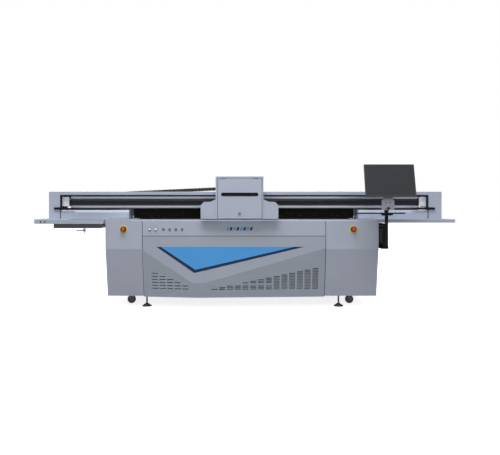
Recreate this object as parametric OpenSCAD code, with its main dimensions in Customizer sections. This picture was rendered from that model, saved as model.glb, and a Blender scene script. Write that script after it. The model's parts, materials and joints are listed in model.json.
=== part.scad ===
// Flatbed UV printer: a base cabinet with a vacuum table, a gantry that travels
// over it, and a print carriage that travels along the gantry.
// Frame: +X to the operator's right, +Y to the back, +Z up, floor at Z = 0.
// Every part is drawn with Y = 0 at the cabinet's front face, then moved by front_y.

/* [Cabinet] */
// Left edge of the cabinet
cab_l = -1603; // [-1610:1:-1600]
// Right edge of the cabinet
cab_r = 1541; // [1539:1:1544]
// Depth of the cabinet
cab_d = 1980; // [1970:5:2000]
// Lower edge of the cabinet's covers
cab_low = 132; // [125:1:135]
// How far the lower front leans back at its lower corners
lean = 115; // [90:1:118]
// Thickness of the sheet metal
sheet = 3; // [2.5:0.5:3]

/* [Table] */
// Height of the printing surface
table_z = 1028; // [1026:0.5:1029]
// Depth of the vacuum table
table_d = 1448; // [1300:1:1450]

/* [Gantry] */
// Half length over the two wings
wing_half = 2400; // [2380:5:2430]
// Top of the gantry's cover
gantry_top = 1354; // [1352:1:1356]

/* [Carriage] */
// Middle of the carriage at rest, along the gantry
car_x = -59; // [-120:1:20]
// Width of the upper box of the carriage
car_w = 544; // [530:2:560]
// Top of the carriage
car_top = 1520; // [1500:1:1530]

/* [Monitor] */
// Width of the monitor
mon_w = 554; // [520:2:560]
// Height of the monitor
mon_h = 376; // [340:2:380]
// Lean of the monitor at rest, in degrees
mon_tilt = 16; // [12:1:18]

/* [Hidden] */
$fn = 48;

// Distance from the origin to the cabinet's front face
front_y = -840;
// Cabinet
seam_l = -1178;
seam_r = 933;
cover_top = 1010;
strip_low = 840;
kink_z = 686;
prow_low = 122;
keel_z = 298;
prow_l_z = 677;
prow_r_z = 700;
keel_l = -606;
keel_r = -445;
frame_x0 = -1590;
frame_x1 = 1528;
frame_y0 = 140;
frame_y1 = 1960;
tube_w = 80;
frame_z0 = 150;
frame_z1 = 930;
floor_z = frame_z0 + tube_w + sheet;
rail_x = [-1450, 1415];
slot_w = 110;
table_x0 = -1298;
table_x1 = 1291;
foot_x = [-1155, 1108];
foot_y = [180, 1920];
caster_x = [-1337, 1294];
caster_y = [340, 1650];
wheel_r = 50;
wheel_z = 58;
trail = 30;
switch_z = 914;
button_x = [-935, -863, -791, -720];
lamp_x = [-1095, -1025];
estop_x = [-1395, 1253];
post_x = 1600;
post_y = -121;
tray_pin_y = -150;
tray_pin_z = 1088;
// Gantry
cov_y0 = 250;
cov_y1 = 530;
cov_low = 1030;
beam_y0 = 352;
beam_y1 = 512;
beam_z0 = 1150;
beam_z1 = 1330;
gan_l = -2201;
gan_r = 2190;
end_l = -2339;
end_r = 2353;
gap_l = -1385;
gap_r = 1360;
pulley_x = [-2150, 2140];
pulley_y = 352;
belt_r = 30;
belt_t = 3;
xrail_z = [1175, 1285];
valve_x = -1852;
bend_x = -1450;
bend_z = 1275;
bend_r = 90;
chain_h = 40;
chain_top = 1418;
chain_y0 = 548;
chain_y1 = 625;
// Carriage
car_l = car_x - car_w / 2;
car_r = car_x + car_w / 2;
car_y0 = -80;
car_yb = 225;
car_low = 1036;
lamp_w = 170;
zrail_x = [car_x - 150, car_x + 150];

module placed() translate([0, front_y, 0]) children();

// Block between two opposite corners
module block(lo, hi) translate(lo) cube(hi - lo);

// Outline in the Y-Z plane, drawn out along X from x0 to x1
module along_x(x0, x1, outline)
    translate([x0, 0, 0]) rotate([90, 0, 90]) linear_extrude(x1 - x0) polygon(outline);

// Outline in the X-Z plane, drawn out along Y from y0 to y1
module along_y(y0, y1, outline)
    translate([0, y1, 0]) rotate([90, 0, 0]) linear_extrude(y1 - y0) polygon(outline);

// Round bar along Y from y0 to y1
module rod_y(x, z, y0, y1, r) translate([x, y1, z]) rotate([90, 0, 0]) cylinder(r = r, h = y1 - y0);

// Round bar along X from x0 to x1
module rod_x(y, z, x0, x1, r) translate([x0, y, z]) rotate([0, 90, 0]) cylinder(r = r, h = x1 - x0);

// Square steel tube along X, Y or Z, open at its ends
module tube_x(x0, x1, y0, z0, w, h, wall = 5) difference() {
    block([x0, y0, z0], [x1, y0 + w, z0 + h]);
    block([x0 - 1, y0 + wall, z0 + wall], [x1 + 1, y0 + w - wall, z0 + h - wall]);
}
module tube_y(y0, y1, x0, z0, w, h, wall = 5) difference() {
    block([x0, y0, z0], [x0 + w, y1, z0 + h]);
    block([x0 + wall, y0 - 1, z0 + wall], [x0 + w - wall, y1 + 1, z0 + h - wall]);
}
module tube_z(z0, z1, x0, y0, w, d, wall = 5) difference() {
    block([x0, y0, z0], [x0 + w, y0 + d, z1]);
    block([x0 + wall, y0 + wall, z0 - 1], [x0 + w - wall, y0 + d - wall, z1 + 1]);
}

// ---------- base ----------

// Welded frame: two rings of square tube, posts, caster beams, floor sheet and table bearers
module base_frame() color("dimgray") placed() {
    post_x0 = [frame_x0, -540, 480, frame_x1 - tube_w];
    difference() {
        union() {
            for (y = [frame_y0, frame_y1 - tube_w], z = [frame_z0, frame_z1 - tube_w])
                tube_x(frame_x0, frame_x1, y, z, tube_w, tube_w);
            for (x = [frame_x0, frame_x1 - tube_w])
                tube_y(frame_y0 + tube_w, frame_y1 - tube_w, x, frame_z0, tube_w, tube_w);
            for (x = rail_x)
                tube_y(frame_y0 + tube_w, frame_y1 - tube_w, x - 50, frame_z1 - tube_w, 100, tube_w);
            for (x = post_x0, y = [frame_y0, frame_y1 - tube_w])
                tube_z(frame_z0 + tube_w, frame_z1 - tube_w, x, y, tube_w, tube_w);
            for (y = caster_y)
                tube_x(frame_x0 + tube_w, frame_x1 - tube_w, y - 40, frame_z0, tube_w, tube_w);
            for (x = [-1200 : 600 : 1200])
                tube_y(frame_y0, frame_y1, x - 30, frame_z1, 60, 55);
            block([frame_x0 + 60, frame_y0 + 60, floor_z - sheet],
                  [frame_x1 - 60, frame_y1 - 60, floor_z]);
        }
        for (x = foot_x, y = foot_y)
            translate([x, y, frame_z0 - 1]) cylinder(r = 10, h = 10);
    }
    for (x = caster_x, y = caster_y) caster_plate(x, y);
}

// Caster top plate, with a kingpin on the two that swivel
module caster_plate(x, y) {
    block([x - 60, y - 50, 144], [x + 60, y + 50, frame_z0]);
    if (y == caster_y[0]) translate([x, y, 120]) cylinder(r = 8, h = 24);
}

// Bent front cover on each side of the centre: upright above, leaning back below
module side_front_covers() color([0.62, 0.64, 0.70]) placed() {
    outline = [
        [0, cover_top], [0, kink_z], [lean, cab_low], [lean + 22, cab_low],
        [lean + 22, cab_low + sheet], [lean + sheet, cab_low + sheet], [sheet, kink_z],
        [sheet, cover_top - sheet], [30, cover_top - sheet], [30, cover_top]
    ];
    difference() {
        union() {
            along_x(cab_l, seam_l - 1, outline);
            along_x(seam_r + 1, cab_r, outline);
        }
        for (x = estop_x) rod_y(x, switch_z, -1, sheet + 1, 11.2);
    }
}

// Flat strip across the centre that carries the switches
module control_strip() color([0.62, 0.64, 0.70]) placed() difference() {
    union() {
        block([seam_l + 1, 0, strip_low], [seam_r - 1, sheet, cover_top]);
        block([seam_l + 1, sheet, cover_top - sheet], [seam_r - 1, 30, cover_top]);
        block([seam_l + 1, sheet, strip_low], [seam_r - 1, 30, strip_low + sheet]);
    }
    for (x = concat(button_x, lamp_x)) rod_y(x, switch_z, -1, sheet + 1, 11.2);
}

// Half-space in front of a plane that leans back below a line in the front face
module fold_cut(x, z, turn, slope)
    translate([x, 0, z]) rotate([0, turn, 0]) rotate([atan(slope), 0, 0])
        translate([-3000, -300, -1500]) cube([6000, 300, 1500]);

// Space behind the folded front: upright in the middle, leaning back left, right and at the keel
module prow_solid() {
    turn_l = atan2(prow_l_z - keel_z, keel_l - seam_l);
    turn_r = -atan2(prow_r_z - keel_z, seam_r - keel_r);
    slope_l = lean / ((prow_l_z - cab_low) * cos(turn_l));
    slope_r = lean / ((prow_r_z - cab_low) * cos(turn_r));
    difference() {
        block([seam_l + 1, 0, prow_low], [seam_r - 1, 160, strip_low - 1]);
        fold_cut(seam_l, prow_l_z, turn_l, slope_l);
        fold_cut(seam_r, prow_r_z, turn_r, slope_r);
        fold_cut(0, keel_z, 0, 0.19);
    }
}

// Folded front panel with two groups of louvre slots
module prow_panel() color([0.50, 0.52, 0.58]) placed() difference() {
    prow_solid();
    translate([0, sheet, 0]) prow_solid();
    block([seam_l, lean + 10, prow_low - 1], [seam_r, 200, strip_low]);
    for (row = [0 : 5], col = [0 : min(row, 4)])
        translate([-1076 + 89 * col, -1, 400 - 36 * row]) cube([70, 160, 9]);
    for (col = [0 : 13], row = [0 : col])
        if (row != 3 || col > 7)
            translate([-385 + 90 * col, -1, 216 + 18.3 * row]) cube([70, 160, 10]);
}

// Flat panels that close the left and right sides
module side_panels() color([0.60, 0.62, 0.68]) placed() {
    outline = [
        [sheet, cover_top - sheet], [sheet, kink_z], [lean + sheet, cab_low + sheet],
        [cab_d - sheet, cab_low + sheet], [cab_d - sheet, cover_top], [30, cover_top],
        [30, cover_top - sheet]
    ];
    for (x = [cab_l, cab_r - sheet]) difference() {
        along_x(x, x + sheet, outline);
        for (y = [400 : 60 : 1000], z = [260 : 40 : 420])
            block([x - 1, y, z], [x + sheet + 1, y + 44, z + 8]);
    }
}

// Back panel with louvres, a mains inlet and a round spigot for the exhaust hose
module rear_panel() color([0.60, 0.62, 0.68]) placed() {
    difference() {
        block([cab_l, cab_d - sheet, cab_low + sheet], [cab_r, cab_d, cover_top]);
        for (x = [-900 : 90 : -280], z = [300 : 36 : 560])
            block([x, cab_d - sheet - 1, z], [x + 70, cab_d + 1, z + 9]);
        rod_y(700, 420, cab_d - sheet - 1, cab_d + 1, 46);
    }
    translate([700, cab_d + 50, 420]) rotate([90, 0, 0]) difference() {
        cylinder(r = 50, h = 49.8);
        translate([0, 0, -1]) cylinder(r = 46, h = 52);
    }
    block([-1350, cab_d, 380], [-1250, cab_d + 40, 500]);
}

// Strips that cover the channels beside the table; each leaves a slot for a gantry leg
module side_decks() color([0.62, 0.64, 0.70]) placed() {
    z0 = 1021;
    z1 = 1026;
    slot_y0 = 285;
    slot_y1 = 1850;
    for (side = [0, 1]) {
        x0 = side == 0 ? cab_l : table_x1 + 13;
        x1 = side == 0 ? table_x0 - 13 : cab_r;
        s0 = rail_x[side] - slot_w / 2;
        s1 = rail_x[side] + slot_w / 2;
        block([x0, 0, z0], [x1, slot_y0, z1]);
        block([x0, 0, cover_top], [x1, sheet, z0]);
        block([x0, slot_y0 + 0.5, z0], [s0, slot_y1 - 0.5, z1]);
        block([s1, slot_y0 + 0.5, z0], [x1, slot_y1 - 0.5, z1]);
        block([x0, slot_y1, z0], [x1, cab_d, z1]);
        block([x0, cab_d - sheet, cover_top], [x1, cab_d, z0]);
        outer = side == 0 ? x0 : x1 - sheet;
        block([outer, sheet, cover_top], [outer + sheet, cab_d - sheet, z0]);
    }
    block([table_x0 - 12, table_d + 46, z0], [table_x1 + 12, cab_d, z1]);
    block([table_x0 - 12, cab_d - sheet, cover_top], [table_x1 + 12, cab_d, z0]);
}

// Vacuum table plate with a grid of shallow air grooves
module vacuum_table() color([0.12, 0.12, 0.13]) placed() difference() {
    block([table_x0, 32, 985], [table_x1, 32 + table_d, table_z]);
    for (x = [table_x0 + 60 : 103 : table_x1 - 40])
        block([x, 60, table_z - 1.5], [x + 3, 12 + table_d, table_z + 1]);
    for (y = [60 : 103 : table_d])
        block([table_x0 + 60, y, table_z - 1.5], [table_x1 - 40, y + 3, table_z + 1]);
}

// Aluminium bars round the edge of the table
module table_edge_bars() color([0.75, 0.76, 0.80]) placed() {
    block([table_x0, 0, cover_top + 0.2], [table_x1, 31, table_z]);
    for (x = [table_x0 - 12.2, table_x1 + 0.2])
        block([x, 0, cover_top + 0.2], [x + 12, 32 + table_d, table_z]);
    block([table_x0 - 12.2, 32.5 + table_d, 985], [table_x1 + 12.2, 45 + table_d, table_z]);
}

// Linear rails that the gantry runs on, with a magnet track beside each for its linear motor
module y_rails() color("silver") placed() for (side = [0, 1]) {
    inner = side == 0 ? 1 : -1;
    block([rail_x[side] - 15, 170, frame_z1], [rail_x[side] + 15, 1930, frame_z1 + 26]);
    translate([rail_x[side] + inner * 40 - 8, 170, frame_z1]) cube([16, 1760, 14]);
}

// Steel box with the drives, power supplies and control boards
module electrical_box() color("lightgray") placed() {
    block([-1100, 420, floor_z], [-300, 700, 780]);
    block([-1085, 412, 250], [-705, 420, 760]);
    block([-695, 412, 250], [-315, 420, 760]);
}

// Side-channel blower with its motor, stand and the duct up to the table
module vacuum_blower() color([0.35, 0.45, 0.55]) placed() {
    z = 460;
    rod_x(900, z, 400, 560, 190);
    rod_x(900, z, 560, 860, 110);
    block([380, 760, floor_z], [880, 1040, floor_z + 10]);
    block([420, 830, floor_z + 10], [540, 970, z - 100]);
    block([600, 850, floor_z + 10], [820, 950, z - 60]);
    translate([480, 900, z + 150]) cylinder(r = 45, h = 985 - z - 150);
}

// Rack with the main ink tanks
module ink_tanks() color([0.85, 0.85, 0.86]) placed() {
    block([1010, 420, floor_z], [1380, 720, 250]);
    for (i = [0 : 5]) translate([1020 + 60 * i, 440, 250]) {
        cube([52, 260, 260]);
        translate([26, 60, 260]) cylinder(r = 18, h = 22);
    }
}

// Fixed bodies of the switches: rings for buttons, two signal lamps, plates for emergency stops
module switch_bodies() color("silver") placed() {
    for (x = button_x) difference() {
        union() {
            rod_y(x, switch_z, -4, 0, 15);
            rod_y(x, switch_z, 0, 34, 11);
        }
        rod_y(x, switch_z, -5, 35, 9.05);
    }
    for (x = lamp_x) {
        rod_y(x, switch_z, -4, 0, 15);
        rod_y(x, switch_z, -7, -4, 11);
        rod_y(x, switch_z, 0, 34, 11);
    }
    for (x = estop_x) color("gold") difference() {
        union() {
            rod_y(x, switch_z, -3, 0, 46);
            rod_y(x, switch_z, -15, -3, 17);
            rod_y(x, switch_z, 0, 34, 11);
        }
        rod_y(x, switch_z, -16, 35, 7.05);
    }
}

// Post for the monitor, its welded braces to the cabinet, the shelf for the computer, and a pivot
module monitor_post() color([0.10, 0.10, 0.11]) placed() {
    tube_z(729, 1118, post_x - 16, post_y - 16, 32, 32, 3);
    block([cab_r, 20, 670], [cab_r + 4, 470, 700]);
    block([cab_r, post_y - 19, 700], [post_x + 19, 480, 712]);
    block([post_x + 18, 70, 700], [cab_r + 104, 480, 712]);
    block([post_x - 19, post_y - 19, 712], [post_x + 19, post_y + 19, 729]);
    block([cab_r, 10, 940], [cab_r + 4, 60, 965]);
    block([cab_r + 4, post_y + 16, 945], [cab_r + 16, 60, 960]);
    block([cab_r + 4, post_y + 16, 945], [post_x + 16, post_y + 28, 960]);
    // Cap with the pivot of the swivel arm, then a crossbar with two ears for the keyboard tray
    block([post_x - 22, post_y - 22, 1118], [post_x + 22, post_y + 22, 1136]);
    translate([post_x, post_y, 1136]) cylinder(r = 10, h = 40);
    block([post_x - 55, post_y - 22, tray_pin_z - 12], [post_x + 48, post_y - 16, tray_pin_z + 10]);
    for (x = [post_x - 55, post_x + 40]) difference() {
        block([x, tray_pin_y - 7, tray_pin_z - 12], [x + 8, post_y - 22, tray_pin_z + 8]);
        rod_x(tray_pin_y, tray_pin_z, x - 1, x + 9, 4.05);
    }
}

// Computer on the shelf beside the cabinet
module pc_case() color([0.13, 0.13, 0.14]) placed() {
    block([cab_r + 6, 75, 712], [cab_r + 100, 470, 980]);
    block([cab_r + 10, 70, 725], [cab_r + 96, 75, 965]);
}

// ---------- feet and casters ----------

// Screwed feet with lock nuts
module levelling_feet() color([0.25, 0.25, 0.27]) placed()
    for (x = foot_x, y = foot_y) translate([x, y, 0]) {
        cylinder(r = 55, h = 12);
        translate([0, 0, 12]) cylinder(r1 = 50, r2 = 14, h = 26);
        translate([0, 0, 38]) cylinder(r = 9, h = 175);
        translate([0, 0, 132]) cylinder(r = 15, h = 12, $fn = 6);
    }

// Fork with its axle; the wheel hangs a little to one side of the pivot
module caster_fork(x, y, swivels) translate([x, y, 0]) {
    top = swivels ? 143.5 : 144;
    difference() {
        union() {
            translate([0, 0, top - 10]) cylinder(r = 38, h = 10);
            for (y = [-28, 22]) block([-trail - 22, y, wheel_z - 16], [0, y + 6, top - 10]);
        }
        if (swivels) translate([0, 0, 100]) cylinder(r = 8.05, h = 50);
    }
    rod_y(-trail, wheel_z, -31, 31, 6);
}
module caster_fork_left() color("silver") placed() caster_fork(caster_x[0], caster_y[0], true);
module caster_fork_right() color("silver") placed() caster_fork(caster_x[1], caster_y[0], true);
module rear_caster_forks() color("silver") placed()
    for (x = caster_x) caster_fork(x, caster_y[1], false);

// Wheel with a rounded tread and a running bore
module caster_wheel(x, y) translate([x - trail, y + 16, wheel_z]) rotate([90, 0, 0])
    rotate_extrude() polygon([
        [6.05, -2], [16, -2], [16, 4], [wheel_r - 12, 4], [wheel_r - 10, 0], [wheel_r - 3, 2],
        [wheel_r, 8], [wheel_r, 24], [wheel_r - 3, 30], [wheel_r - 10, 32], [wheel_r - 12, 28],
        [16, 28], [16, 34], [6.05, 34]
    ]);
module wheel_front_left() color([0.15, 0.15, 0.16]) placed() caster_wheel(caster_x[0], caster_y[0]);
module wheel_front_right() color([0.15, 0.15, 0.16]) placed() caster_wheel(caster_x[1], caster_y[0]);
module wheel_rear_left() color([0.15, 0.15, 0.16]) placed() caster_wheel(caster_x[0], caster_y[1]);
module wheel_rear_right() color([0.15, 0.15, 0.16]) placed() caster_wheel(caster_x[1], caster_y[1]);

// ---------- switches ----------

// Push button that slides in its ring
module push_button(i) placed() {
    rod_y(button_x[i], switch_z, -9, -7.5, 8);
    rod_y(button_x[i], switch_z, -7.5, 20, 9);
}
module button_1() color("gray") push_button(0);
module button_2() color("gray") push_button(1);
module button_3() color("gray") push_button(2);
module button_4() color("gray") push_button(3);

// Mushroom head on a stem
module estop(x) placed() {
    rod_y(x, switch_z, -22, 15, 7);
    translate([x, -22, switch_z]) rotate([90, 0, 0]) rotate_extrude() polygon([
        [0, 0], [20, 0], [23, 4], [23, 10], [21, 15], [16, 19], [8, 21], [0, 21]
    ]);
}
module estop_left() color("red") estop(estop_x[0]);
module estop_right() color("red") estop(estop_x[1]);

// ---------- monitor and keyboard tray ----------

// Shallow tray that folds down on its hinge pin
module keyboard_tray() color([0.16, 0.16, 0.17]) placed() {
    x0 = 1246;
    x1 = 1748;
    block([x0, -350, 1098], [x1, -164, 1102]);
    block([x0, -350, 1102], [x1, -347, 1112]);
    for (x = [x0, x1 - 3]) block([x, -347, 1102], [x + 3, -180, 1112]);
    for (x = [post_x - 66, post_x + 55])
        block([x, -164, tray_pin_z - 8], [x + 8, tray_pin_y + 6, 1102]);
    rod_x(tray_pin_y, tray_pin_z, post_x - 62, post_x + 59, 4);
}

// Arm that turns on the post and carries the monitor's tilt pivot
module swivel_arm() color([0.45, 0.46, 0.49]) placed() {
    difference() {
        block([post_x - 24, -190, 1138], [post_x + 24, post_y + 24, 1170]);
        translate([post_x, post_y, 1130]) cylinder(r = 10.05, h = 60);
    }
    block([1530, -196, 1138], [1670, -190, 1250]);
    block([1545, -194, 1250], [1655, -190, 1500]);
    for (x = [1560, 1632]) difference() {
        union() {
            block([x, -222, 1450], [x + 8, -194, 1482]);
            rod_x(-222, 1466, x, x + 8, 16);
        }
        rod_x(-222, 1466, x - 1, x + 9, 5.05);
    }
}

// Monitor with its recessed screen, a raised back and the tilt block
module monitor_shell() color([0.14, 0.14, 0.15]) placed() {
    translate([post_x, -283, 1466]) rotate([-mon_tilt, 0, 0]) {
        difference() {
            translate([-mon_w / 2, 0, -mon_h / 2]) cube([mon_w, 26, mon_h]);
            translate([-mon_w / 2 + 14, -1, -mon_h / 2 + 18]) cube([mon_w - 28, 4, mon_h - 32]);
        }
        translate([-170, 26, -110]) cube([340, 14, 220]);
    }
    difference() {
        union() {
            translate([post_x, -283, 1466]) rotate([-mon_tilt, 0, 0])
                translate([-30, 38, -30]) cube([60, 14, 60]);
            rod_x(-222, 1466, 1572, 1628, 13);
        }
        translate([post_x, -283, 1466]) rotate([-mon_tilt, 0, 0])
            translate([-40, 0, -60]) cube([80, 30, 120]);
    }
    rod_x(-222, 1466, 1554, 1646, 5);
}

// ---------- gantry ----------

// Hollow steel beam across the machine
module gantry_beam() color([0.32, 0.33, 0.36]) placed() difference() {
    block([-2105, beam_y0, beam_z0], [2095, beam_y1, beam_z1]);
    block([-2106, beam_y0 + 8, beam_z0 + 8], [2096, beam_y1 - 8, beam_z1 - 8]);
}

// Folded cover over the beam
module gantry_top_cover() color([0.63, 0.65, 0.71]) placed() along_x(gan_l + 0.5, gan_r - 0.5, [
    [cov_y0, gantry_top - 38], [cov_y0, gantry_top], [cov_y1, gantry_top], [cov_y1, 1260],
    [cov_y1 - sheet, 1260], [cov_y1 - sheet, gantry_top - sheet],
    [cov_y0 + sheet, gantry_top - sheet], [cov_y0 + sheet, gantry_top - 38]
]);

// Boxes that close the two ends of the gantry
module gantry_end_blocks() color([0.66, 0.69, 0.75]) placed() {
    for (side = [0, 1]) {
        x0 = side == 0 ? end_l : gan_r;
        x1 = side == 0 ? gan_l : end_r;
        i0 = side == 0 ? x0 + sheet : x0 - 1;
        i1 = side == 0 ? x1 + 1 : x1 - sheet;
        difference() {
            block([x0, cov_y0, cov_low], [x1, cov_y1, gantry_top]);
            block([i0, cov_y0 + sheet, cov_low - 1], [i1, cov_y1 - sheet, gantry_top - sheet]);
        }
    }
}

// Lower covers round the gantry's legs, with a sloping top edge
module gantry_side_covers() color([0.62, 0.64, 0.70]) placed() {
    outline = [
        [cov_y0, cov_low], [cov_y0, 1108], [cov_y0 + 25, 1135], [beam_y0 - 60, 1135],
        [beam_y0 - 60, 1132], [cov_y0 + 26, 1132], [cov_y0 + sheet, 1107], [cov_y0 + sheet, cov_low]
    ];
    for (side = [0, 1]) {
        x0 = side == 0 ? gan_l + 0.5 : gap_r;
        x1 = side == 0 ? gap_l : gan_r - 0.5;
        end_x = side == 0 ? gap_l : gap_r - sheet;
        along_x(x0, x1, outline);
        along_x(end_x, end_x + sheet, [
            [cov_y0, cov_low], [cov_y0, 1108], [cov_y0 + 25, 1135], [beam_y0 - 60, 1135],
            [beam_y0 - 60, 1149], [cov_y1, 1149], [cov_y1, cov_low]
        ]);
        block([x0, cov_y1 - sheet, cov_low], [x1, cov_y1, 1149]);
    }
}

// Legs under the beam with the blocks that ride on the rails
module gantry_legs() color([0.40, 0.41, 0.44]) placed() for (x = rail_x) difference() {
    union() {
        block([x - 45, 300, 990], [x + 45, 520, beam_z0]);
        block([x - 48, 300, 946], [x + 48, 520, 990]);
    }
    block([x - 15.4, 299, 940], [x + 15.4, 521, 956.4]);
}

// Trays that stick out past the cabinet under each end of the gantry
module gantry_wings() color([0.58, 0.61, 0.67]) placed() {
    difference() {
        block([-wing_half, -60, 979], [cab_l - 10, 560, cov_low]);
        block([-wing_half + sheet, -60 + sheet, 978], [cab_l - 10 - sheet, 560 - sheet, cov_low - sheet]);
        block([-2050, -35, 1000], [-1640, 215, cov_low + 1]);
    }
    difference() {
        block([cab_r + 10, -60, 994], [wing_half, 560, cov_low]);
        block([cab_r + 10 + sheet, -60 + sheet, 993], [wing_half - sheet, 560 - sheet, cov_low - sheet]);
    }
}

// Rails on the front of the beam for the carriage
module x_rails() color("silver") placed()
    for (z = xrail_z) block([-2100, beam_y0 - 26, z - 13], [2090, beam_y0, z + 13]);

// Toothed belt: its front run passes before the beam, its back run inside it
module x_belt() color([0.10, 0.10, 0.12]) placed() {
    z0 = 1205;
    z1 = 1245;
    y_in = pulley_y - belt_r;
    y_out = pulley_y + belt_r;
    block([pulley_x[0], y_in - belt_t, z0], [pulley_x[1], y_in, z1]);
    block([pulley_x[0], y_out, z0], [pulley_x[1], y_out + belt_t, z1]);
    for (side = [0, 1]) translate([pulley_x[side], pulley_y, z0]) difference() {
        cylinder(r = belt_r + belt_t, h = z1 - z0);
        translate([0, 0, -1]) cylinder(r = belt_r, h = z1 - z0 + 2);
        translate([side == 0 ? 0 : -50, -50, -1]) cube([50, 100, z1 - z0 + 2]);
    }
}

// Belt pulley on an upright shaft
module belt_pulley(x, low) placed() translate([x, pulley_y, 0]) {
    translate([0, 0, 1205]) cylinder(r = belt_r - 0.05, h = 40);
    translate([0, 0, 1200]) cylinder(r = belt_r + 6, h = 4.5);
    translate([0, 0, 1245.5]) cylinder(r = belt_r + 6, h = 4.5);
    translate([0, 0, low]) cylinder(r = 8, h = 1285 - low);
}
module drive_pulley() color("silver") belt_pulley(pulley_x[1], 1135);
module idler_pulley() color("silver") belt_pulley(pulley_x[0], 1168);

// Light brackets that hold the pulley shafts, and the carriage motor
module belt_end_mounts() color([0.80, 0.81, 0.85]) placed() {
    for (side = [0, 1]) {
        x = pulley_x[side];
        difference() {
            union() {
                block([x - 45, 296, 1180], [x + 40, 302, 1292]);
                block([x - 45, 302, 1180], [x + 40, 395, 1190]);
                block([x - 45, 302, 1276], [x + 40, 395, 1286]);
                block([x - 45, 395, 1180], [x + 40, 401, 1286]);
            }
            translate([x, pulley_y, 1170]) cylinder(r = 8.05, h = 130);
        }
    }
    x = pulley_x[1];
    difference() {
        block([x - 40, pulley_y - 40, 1045], [x + 40, pulley_y + 40, 1175]);
        translate([x, pulley_y, 1130]) cylinder(r = 8.05, h = 60);
    }
}

// Tray that catches waste ink under the cap station
module waste_tray() color([0.25, 0.25, 0.27]) placed() difference() {
    along_y(-45, 260, [
        [-2184, 929], [-2184, 978.5], [-1620, 978.5], [-1620, 960], [-1650, 929]
    ]);
    along_y(-42, 257, [
        [-2181, 932], [-2181, 990], [-1623, 990], [-1623, 961], [-1651, 932]
    ]);
}

// Drain valve under the tray with a spigot for a hose
module drain_valve() color([0.55, 0.55, 0.57]) placed() translate([valve_x, 30, 0]) {
    translate([0, 0, 864]) cylinder(r = 8, h = 24);
    translate([0, 0, 888]) cylinder(r = 16, h = 30);
    translate([0, 0, 918]) cylinder(r = 10, h = 10.8);
    rod_y(0, 903, -30, 0, 5);
}

// Lever of the drain valve
module drain_lever() color([0.18, 0.18, 0.20]) placed() {
    difference() {
        union() {
            rod_y(valve_x, 903, -10, 10, 10);
            block([valve_x - 84, -6, 898], [valve_x, 2, 908]);
        }
        rod_y(valve_x, 903, -12, 12, 5.05);
    }
}

// Soft cap that the carriage parks over
module cap_station() color([0.20, 0.20, 0.22]) placed() difference() {
    block([-2035, -22, 985], [-1655, 205, 1023]);
    for (col = [0 : 3], row = [0, 1])
        block([-2015 + 90 * col, -2 + 104 * row, 1014], [-1945 + 90 * col, 78 + 104 * row, 1030]);
}

// Dark curtain behind the gap, which keeps UV light in
module uv_curtain() color([0.08, 0.08, 0.09]) placed()
    block([gap_l + 8, 500, 1060], [gap_r - 8, 505, beam_z0 - 0.5]);

// Trough behind the beam, and the cable chain's lower run that lies in it
module chain_tray() color([0.50, 0.52, 0.56]) placed() {
    difference() {
        block([5 - wing_half, cov_y1 + 0.5, 1177], [200, 640, 1340]);
        block([4 - wing_half, cov_y1 + 3.5, 1180], [201, 637, 1341]);
    }
    block([bend_x, chain_y0, bend_z - bend_r], [180, chain_y1, bend_z - bend_r + chain_h]);
}

// Upper run of the cable chain, from its bend up to the carriage's arm
module cable_chain() color([0.09, 0.09, 0.10]) placed() {
    top_z = bend_z + bend_r;
    along_y(chain_y0, chain_y1, [
        [bend_x + 1, top_z - chain_h], [-330, chain_top - chain_h], [-101, chain_top - chain_h],
        [-101, chain_top], [-330, chain_top], [bend_x + 1, top_z]
    ]);
}

// Bend of the cable chain; it follows the carriage at half its speed
module chain_bend() color([0.09, 0.09, 0.10]) placed()
    translate([bend_x - 0.5, chain_y1, bend_z]) rotate([90, 0, 0]) difference() {
        cylinder(r = bend_r, h = chain_y1 - chain_y0);
        translate([0, 0, -1]) cylinder(r = bend_r - chain_h, h = 100);
        translate([0, -100, -1]) cube([100, 200, 100]);
    }

// ---------- carriage ----------

// Plate that runs on the rails, upright guides on its front, and the arm for the cable chain
module x_slider() color([0.42, 0.43, 0.46]) placed() {
    difference() {
        union() {
            block([car_x - 230, 262, 1156], [car_x + 230, 300, 1306]);
            for (z = xrail_z, x = [car_x - 200, car_x + 80])
                block([x, 300, z - 21], [x + 120, 346, z + 21]);
            block([car_x - 60, 300, 1208], [car_x + 60, 318.5, 1242]);
        }
        for (z = xrail_z) block([car_x - 240, 325.6, z - 13.4], [car_x + 240, 353, z + 13.4]);
    }
    for (x = zrail_x) block([x - 10, 236, 1156], [x + 10, 262, 1306]);
    block([-100, 234, 1180], [60, 262, 1300]);
    block([-100, 234, 1300], [60, 246, 1372]);
    block([-100, 246, 1362], [60, 545, 1372]);
    block([-100, 545, 1362], [60, 630, 1418]);
}

// Back plate and head plate of the part that lifts
module carriage_frame() color([0.45, 0.46, 0.50]) placed() {
    head_x = [for (col = [0 : 3]) car_x - 165 + 90 * col];
    block([car_l + 5, 205, 1044], [car_r - 5, 222, 1340]);
    for (x = zrail_x) difference() {
        block([x - 28, 222, 1160], [x + 28, 246, 1290]);
        block([x - 10.4, 235.6, 1159], [x + 10.4, 247, 1291]);
    }
    difference() {
        block([car_l + 5, -55, 1044], [car_r - 5, 205, 1054]);
        for (x = head_x, row = [0, 1])
            block([x - 1, -6 + 104 * row, 1043], [x + 61, 76 + 104 * row, 1055]);
    }
}

// Print heads in two rows
module print_heads() color([0.20, 0.20, 0.22]) placed()
    for (col = [0 : 3], row = [0, 1]) translate([car_x - 165 + 90 * col, -5 + 104 * row, 0]) {
        translate([0, 0, 1037]) cube([60, 80, 17]);
        translate([-10, -6, 1054.2]) cube([80, 92, 12]);
        translate([8, 15, 1066.2]) cube([44, 50, 60]);
    }

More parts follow.
